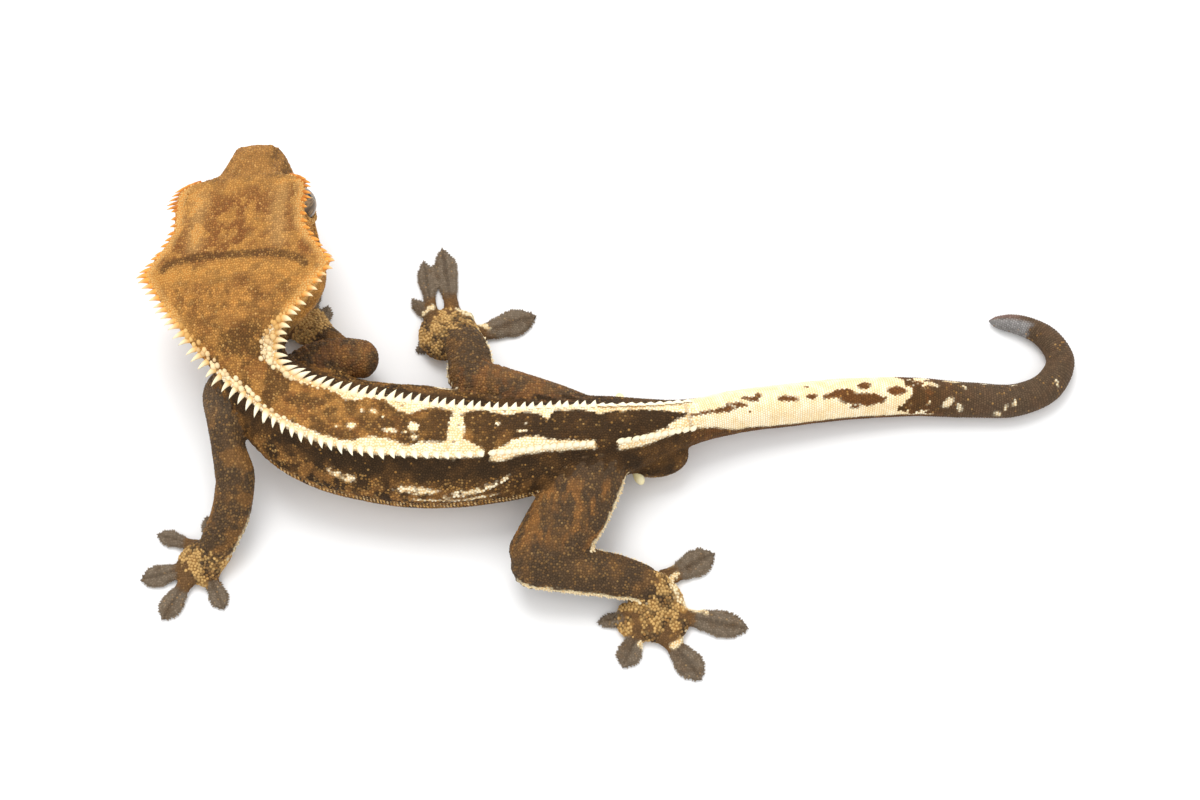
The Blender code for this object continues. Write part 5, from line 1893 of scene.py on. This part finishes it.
def make_spurs():
    """The pale spurs on either side of the tail's base."""
    parts = []
    for root, tip in np.array(SPURS):
        rings = []
        for t in np.linspace(0, 0.97, 12):
            swell = 0.55 + 0.45 * math.sin(min(1, t * 1.15) * math.pi * 0.62)
            round_off = math.sqrt(1 - max(0.0, (t - 0.55) / 0.45) ** 2)
            half = SPUR_RADIUS * swell * round_off
            rings.append(oval_ring(root + (tip - root) * t, unit(tip - root), half, half, 16))
        parts.append(loft_parts(np.array(rings), None, tip))
    points, faces = joined(parts)
    made = to_object("spurs", points, faces)
    made.data.shade_smooth()
    paint(made.data, mix(SPUR_ROOT, SPUR_PALE, noise(points, 0.8, 7)))
    dress(made, skin_material("spurs", roughness=0.5, grain=0.12, bump=0.2), "trunk_skin")


# Materials


def skin_material(name, roughness=0.60, grain=0.16, bump=0.25):
    """Skin coloured by its tint, with fine grain in its colour, gloss and surface."""
    material = bpy.data.materials.new(name)
    material.use_nodes = True
    nodes, links = material.node_tree.nodes, material.node_tree.links
    shader = nodes["Principled BSDF"]
    tone = nodes.new("ShaderNodeAttribute")
    tone.attribute_type = "GEOMETRY"
    tone.attribute_name = "tint"
    place = nodes.new("ShaderNodeTexCoord")
    grit = nodes.new("ShaderNodeTexNoise")
    grit.inputs["Scale"].default_value = 6500
    grit.inputs["Detail"].default_value = 3
    links.new(place.outputs["Object"], grit.inputs["Vector"])
    lift = nodes.new("ShaderNodeMapRange")
    lift.inputs["To Min"].default_value = 1 - grain
    lift.inputs["To Max"].default_value = 1 + grain
    links.new(grit.outputs["Fac"], lift.inputs["Value"])
    tinted = nodes.new("ShaderNodeMix")
    tinted.data_type = "RGBA"
    tinted.blend_type = "MULTIPLY"
    tinted.inputs["Factor"].default_value = 1
    links.new(tone.outputs["Color"], tinted.inputs["A"])
    links.new(lift.outputs["Result"], tinted.inputs["B"])
    links.new(tinted.outputs["Result"], shader.inputs["Base Color"])
    rough = nodes.new("ShaderNodeMapRange")
    rough.inputs["To Min"].default_value = roughness - 0.12
    rough.inputs["To Max"].default_value = roughness + 0.12
    links.new(grit.outputs["Fac"], rough.inputs["Value"])
    links.new(rough.outputs["Result"], shader.inputs["Roughness"])
    dents = nodes.new("ShaderNodeBump")
    dents.inputs["Strength"].default_value = bump
    dents.inputs["Distance"].default_value = 0.00006
    links.new(grit.outputs["Fac"], dents.inputs["Height"])
    links.new(dents.outputs["Normal"], shader.inputs["Normal"])
    shader.inputs["Specular IOR Level"].default_value = 0.12
    return material


def dress(piece, material, slot, *nodes):
    """Give a piece its material and let it stand for CAD nodes; slot is not used."""
    piece.data.materials.clear()
    piece.data.materials.append(material)
    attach(piece, "root")
    if nodes:
        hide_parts(*nodes)


# Camera, floor and light


CAMERA_TILT = 20.0
CAMERA_DISTANCE = 440.0
CAMERA_LENS = 80.0
CAMERA_TARGET = (0.0, 0.0, 6.0)
LIGHT_PLACE = (-0.12, 0.42, 0.78)
LIGHT_SIZE = 0.45
LIGHT_POWER = 3.9
AMBIENT = 1.15
FLOOR_HALF = 3.0


def make_camera():
    """A camera high over the animal, tipped towards the side of its left feet."""
    tilt = math.radians(CAMERA_TILT)
    camera = bpy.data.cameras.new("camera")
    camera.lens = CAMERA_LENS
    camera.sensor_width = 36.0
    camera.clip_start = 0.01
    made = linked("camera", camera)
    back = Vector((0, -math.sin(tilt), math.cos(tilt)))
    made.location = Vector(world(CAMERA_TARGET)) + back * CAMERA_DISTANCE * MM
    made.rotation_euler = (tilt, 0, 0)
    bpy.context.scene.camera = made


def make_stage():
    """A pale floor under soft light from beyond the animal's right side."""
    mesh = bpy.data.meshes.new("floor")
    corners = [(x * FLOOR_HALF, y * FLOOR_HALF, 0) for x, y in ((-1, -1), (1, -1), (1, 1), (-1, 1))]
    mesh.from_pydata(corners, [], [(0, 1, 2, 3)])
    floor = linked("floor", mesh)
    material = bpy.data.materials.new("floor")
    material.use_nodes = True
    shader = material.node_tree.nodes["Principled BSDF"]
    shader.inputs["Base Color"].default_value = (0.88, 0.88, 0.88, 1)
    shader.inputs["Roughness"].default_value = 0.9
    mesh.materials.append(material)
    studio = bpy.data.worlds.new("studio")
    studio.use_nodes = True
    sky = studio.node_tree.nodes["Background"]
    sky.inputs["Color"].default_value = (1, 1, 1, 1)
    sky.inputs["Strength"].default_value = AMBIENT
    bpy.context.scene.world = studio
    light = bpy.data.lights.new("key", "AREA")
    light.size = LIGHT_SIZE
    light.energy = LIGHT_POWER
    made = linked("key", light)
    made.location = LIGHT_PLACE
    made.rotation_euler = (-Vector(LIGHT_PLACE)).to_track_quat("-Z", "Y").to_euler()
    bpy.context.scene.view_settings.view_transform = "Standard"


def paint_skin(made, points, info):
    """The skin between the scales is painted darker than they are, partly its own warmer tone and
    partly painted shade between the scales, deepest on the palms, with painted shade in the mouth,
    nostrils and ears.
    """
    colour = tint(info)
    # Painted shade between the scales, darkest on the palms; under pale scales it is also warmer,
    # partly the skin's own tone.
    gap_tone_and_shade = colour * np.where(colour.max(1) > 0.5, 1.0, 0.8)[:, None]
    gap_tone_and_shade = mix(gap_tone_and_shade, gap_tone_and_shade * (0.92, 0.72, 0.50), smooth(0.35, 0.6, colour.max(1)))
    gap_tone_and_shade = gap_tone_and_shade * np.where(info["kind"] == PALM, 0.62, 1.0)[:, None]
    # Painted shade in the mouth, nostrils and ears.
    paint(made.data, gap_tone_and_shade * opening_shade(points)[:, None])


def main():
    make_camera()
    make_stage()
    made = make_skin()
    guide = Guide()
    shape_skin(made, guide)
    skin = Skin(made)
    info = guide.read(skin.points)
    paint_skin(made, skin.points, info)
    made.data.shade_smooth()
    flesh = [name for name in frame["nodes"] if not name.startswith("eye")]
    dress(made, skin_material("skin"), "trunk_skin", *flesh)
    make_scales(skin, guide, info)
    make_tail_scales(skin, guide)
    make_spines(skin, guide)
    make_beads(skin, guide)
    make_fringes(skin, guide)
    make_lips(skin, guide)
    make_eye_beads(skin, guide)
    make_eye(1, "eyeball_left")
    make_eye(-1, "eyeball_right")
    make_claws()
    make_spurs()


main()
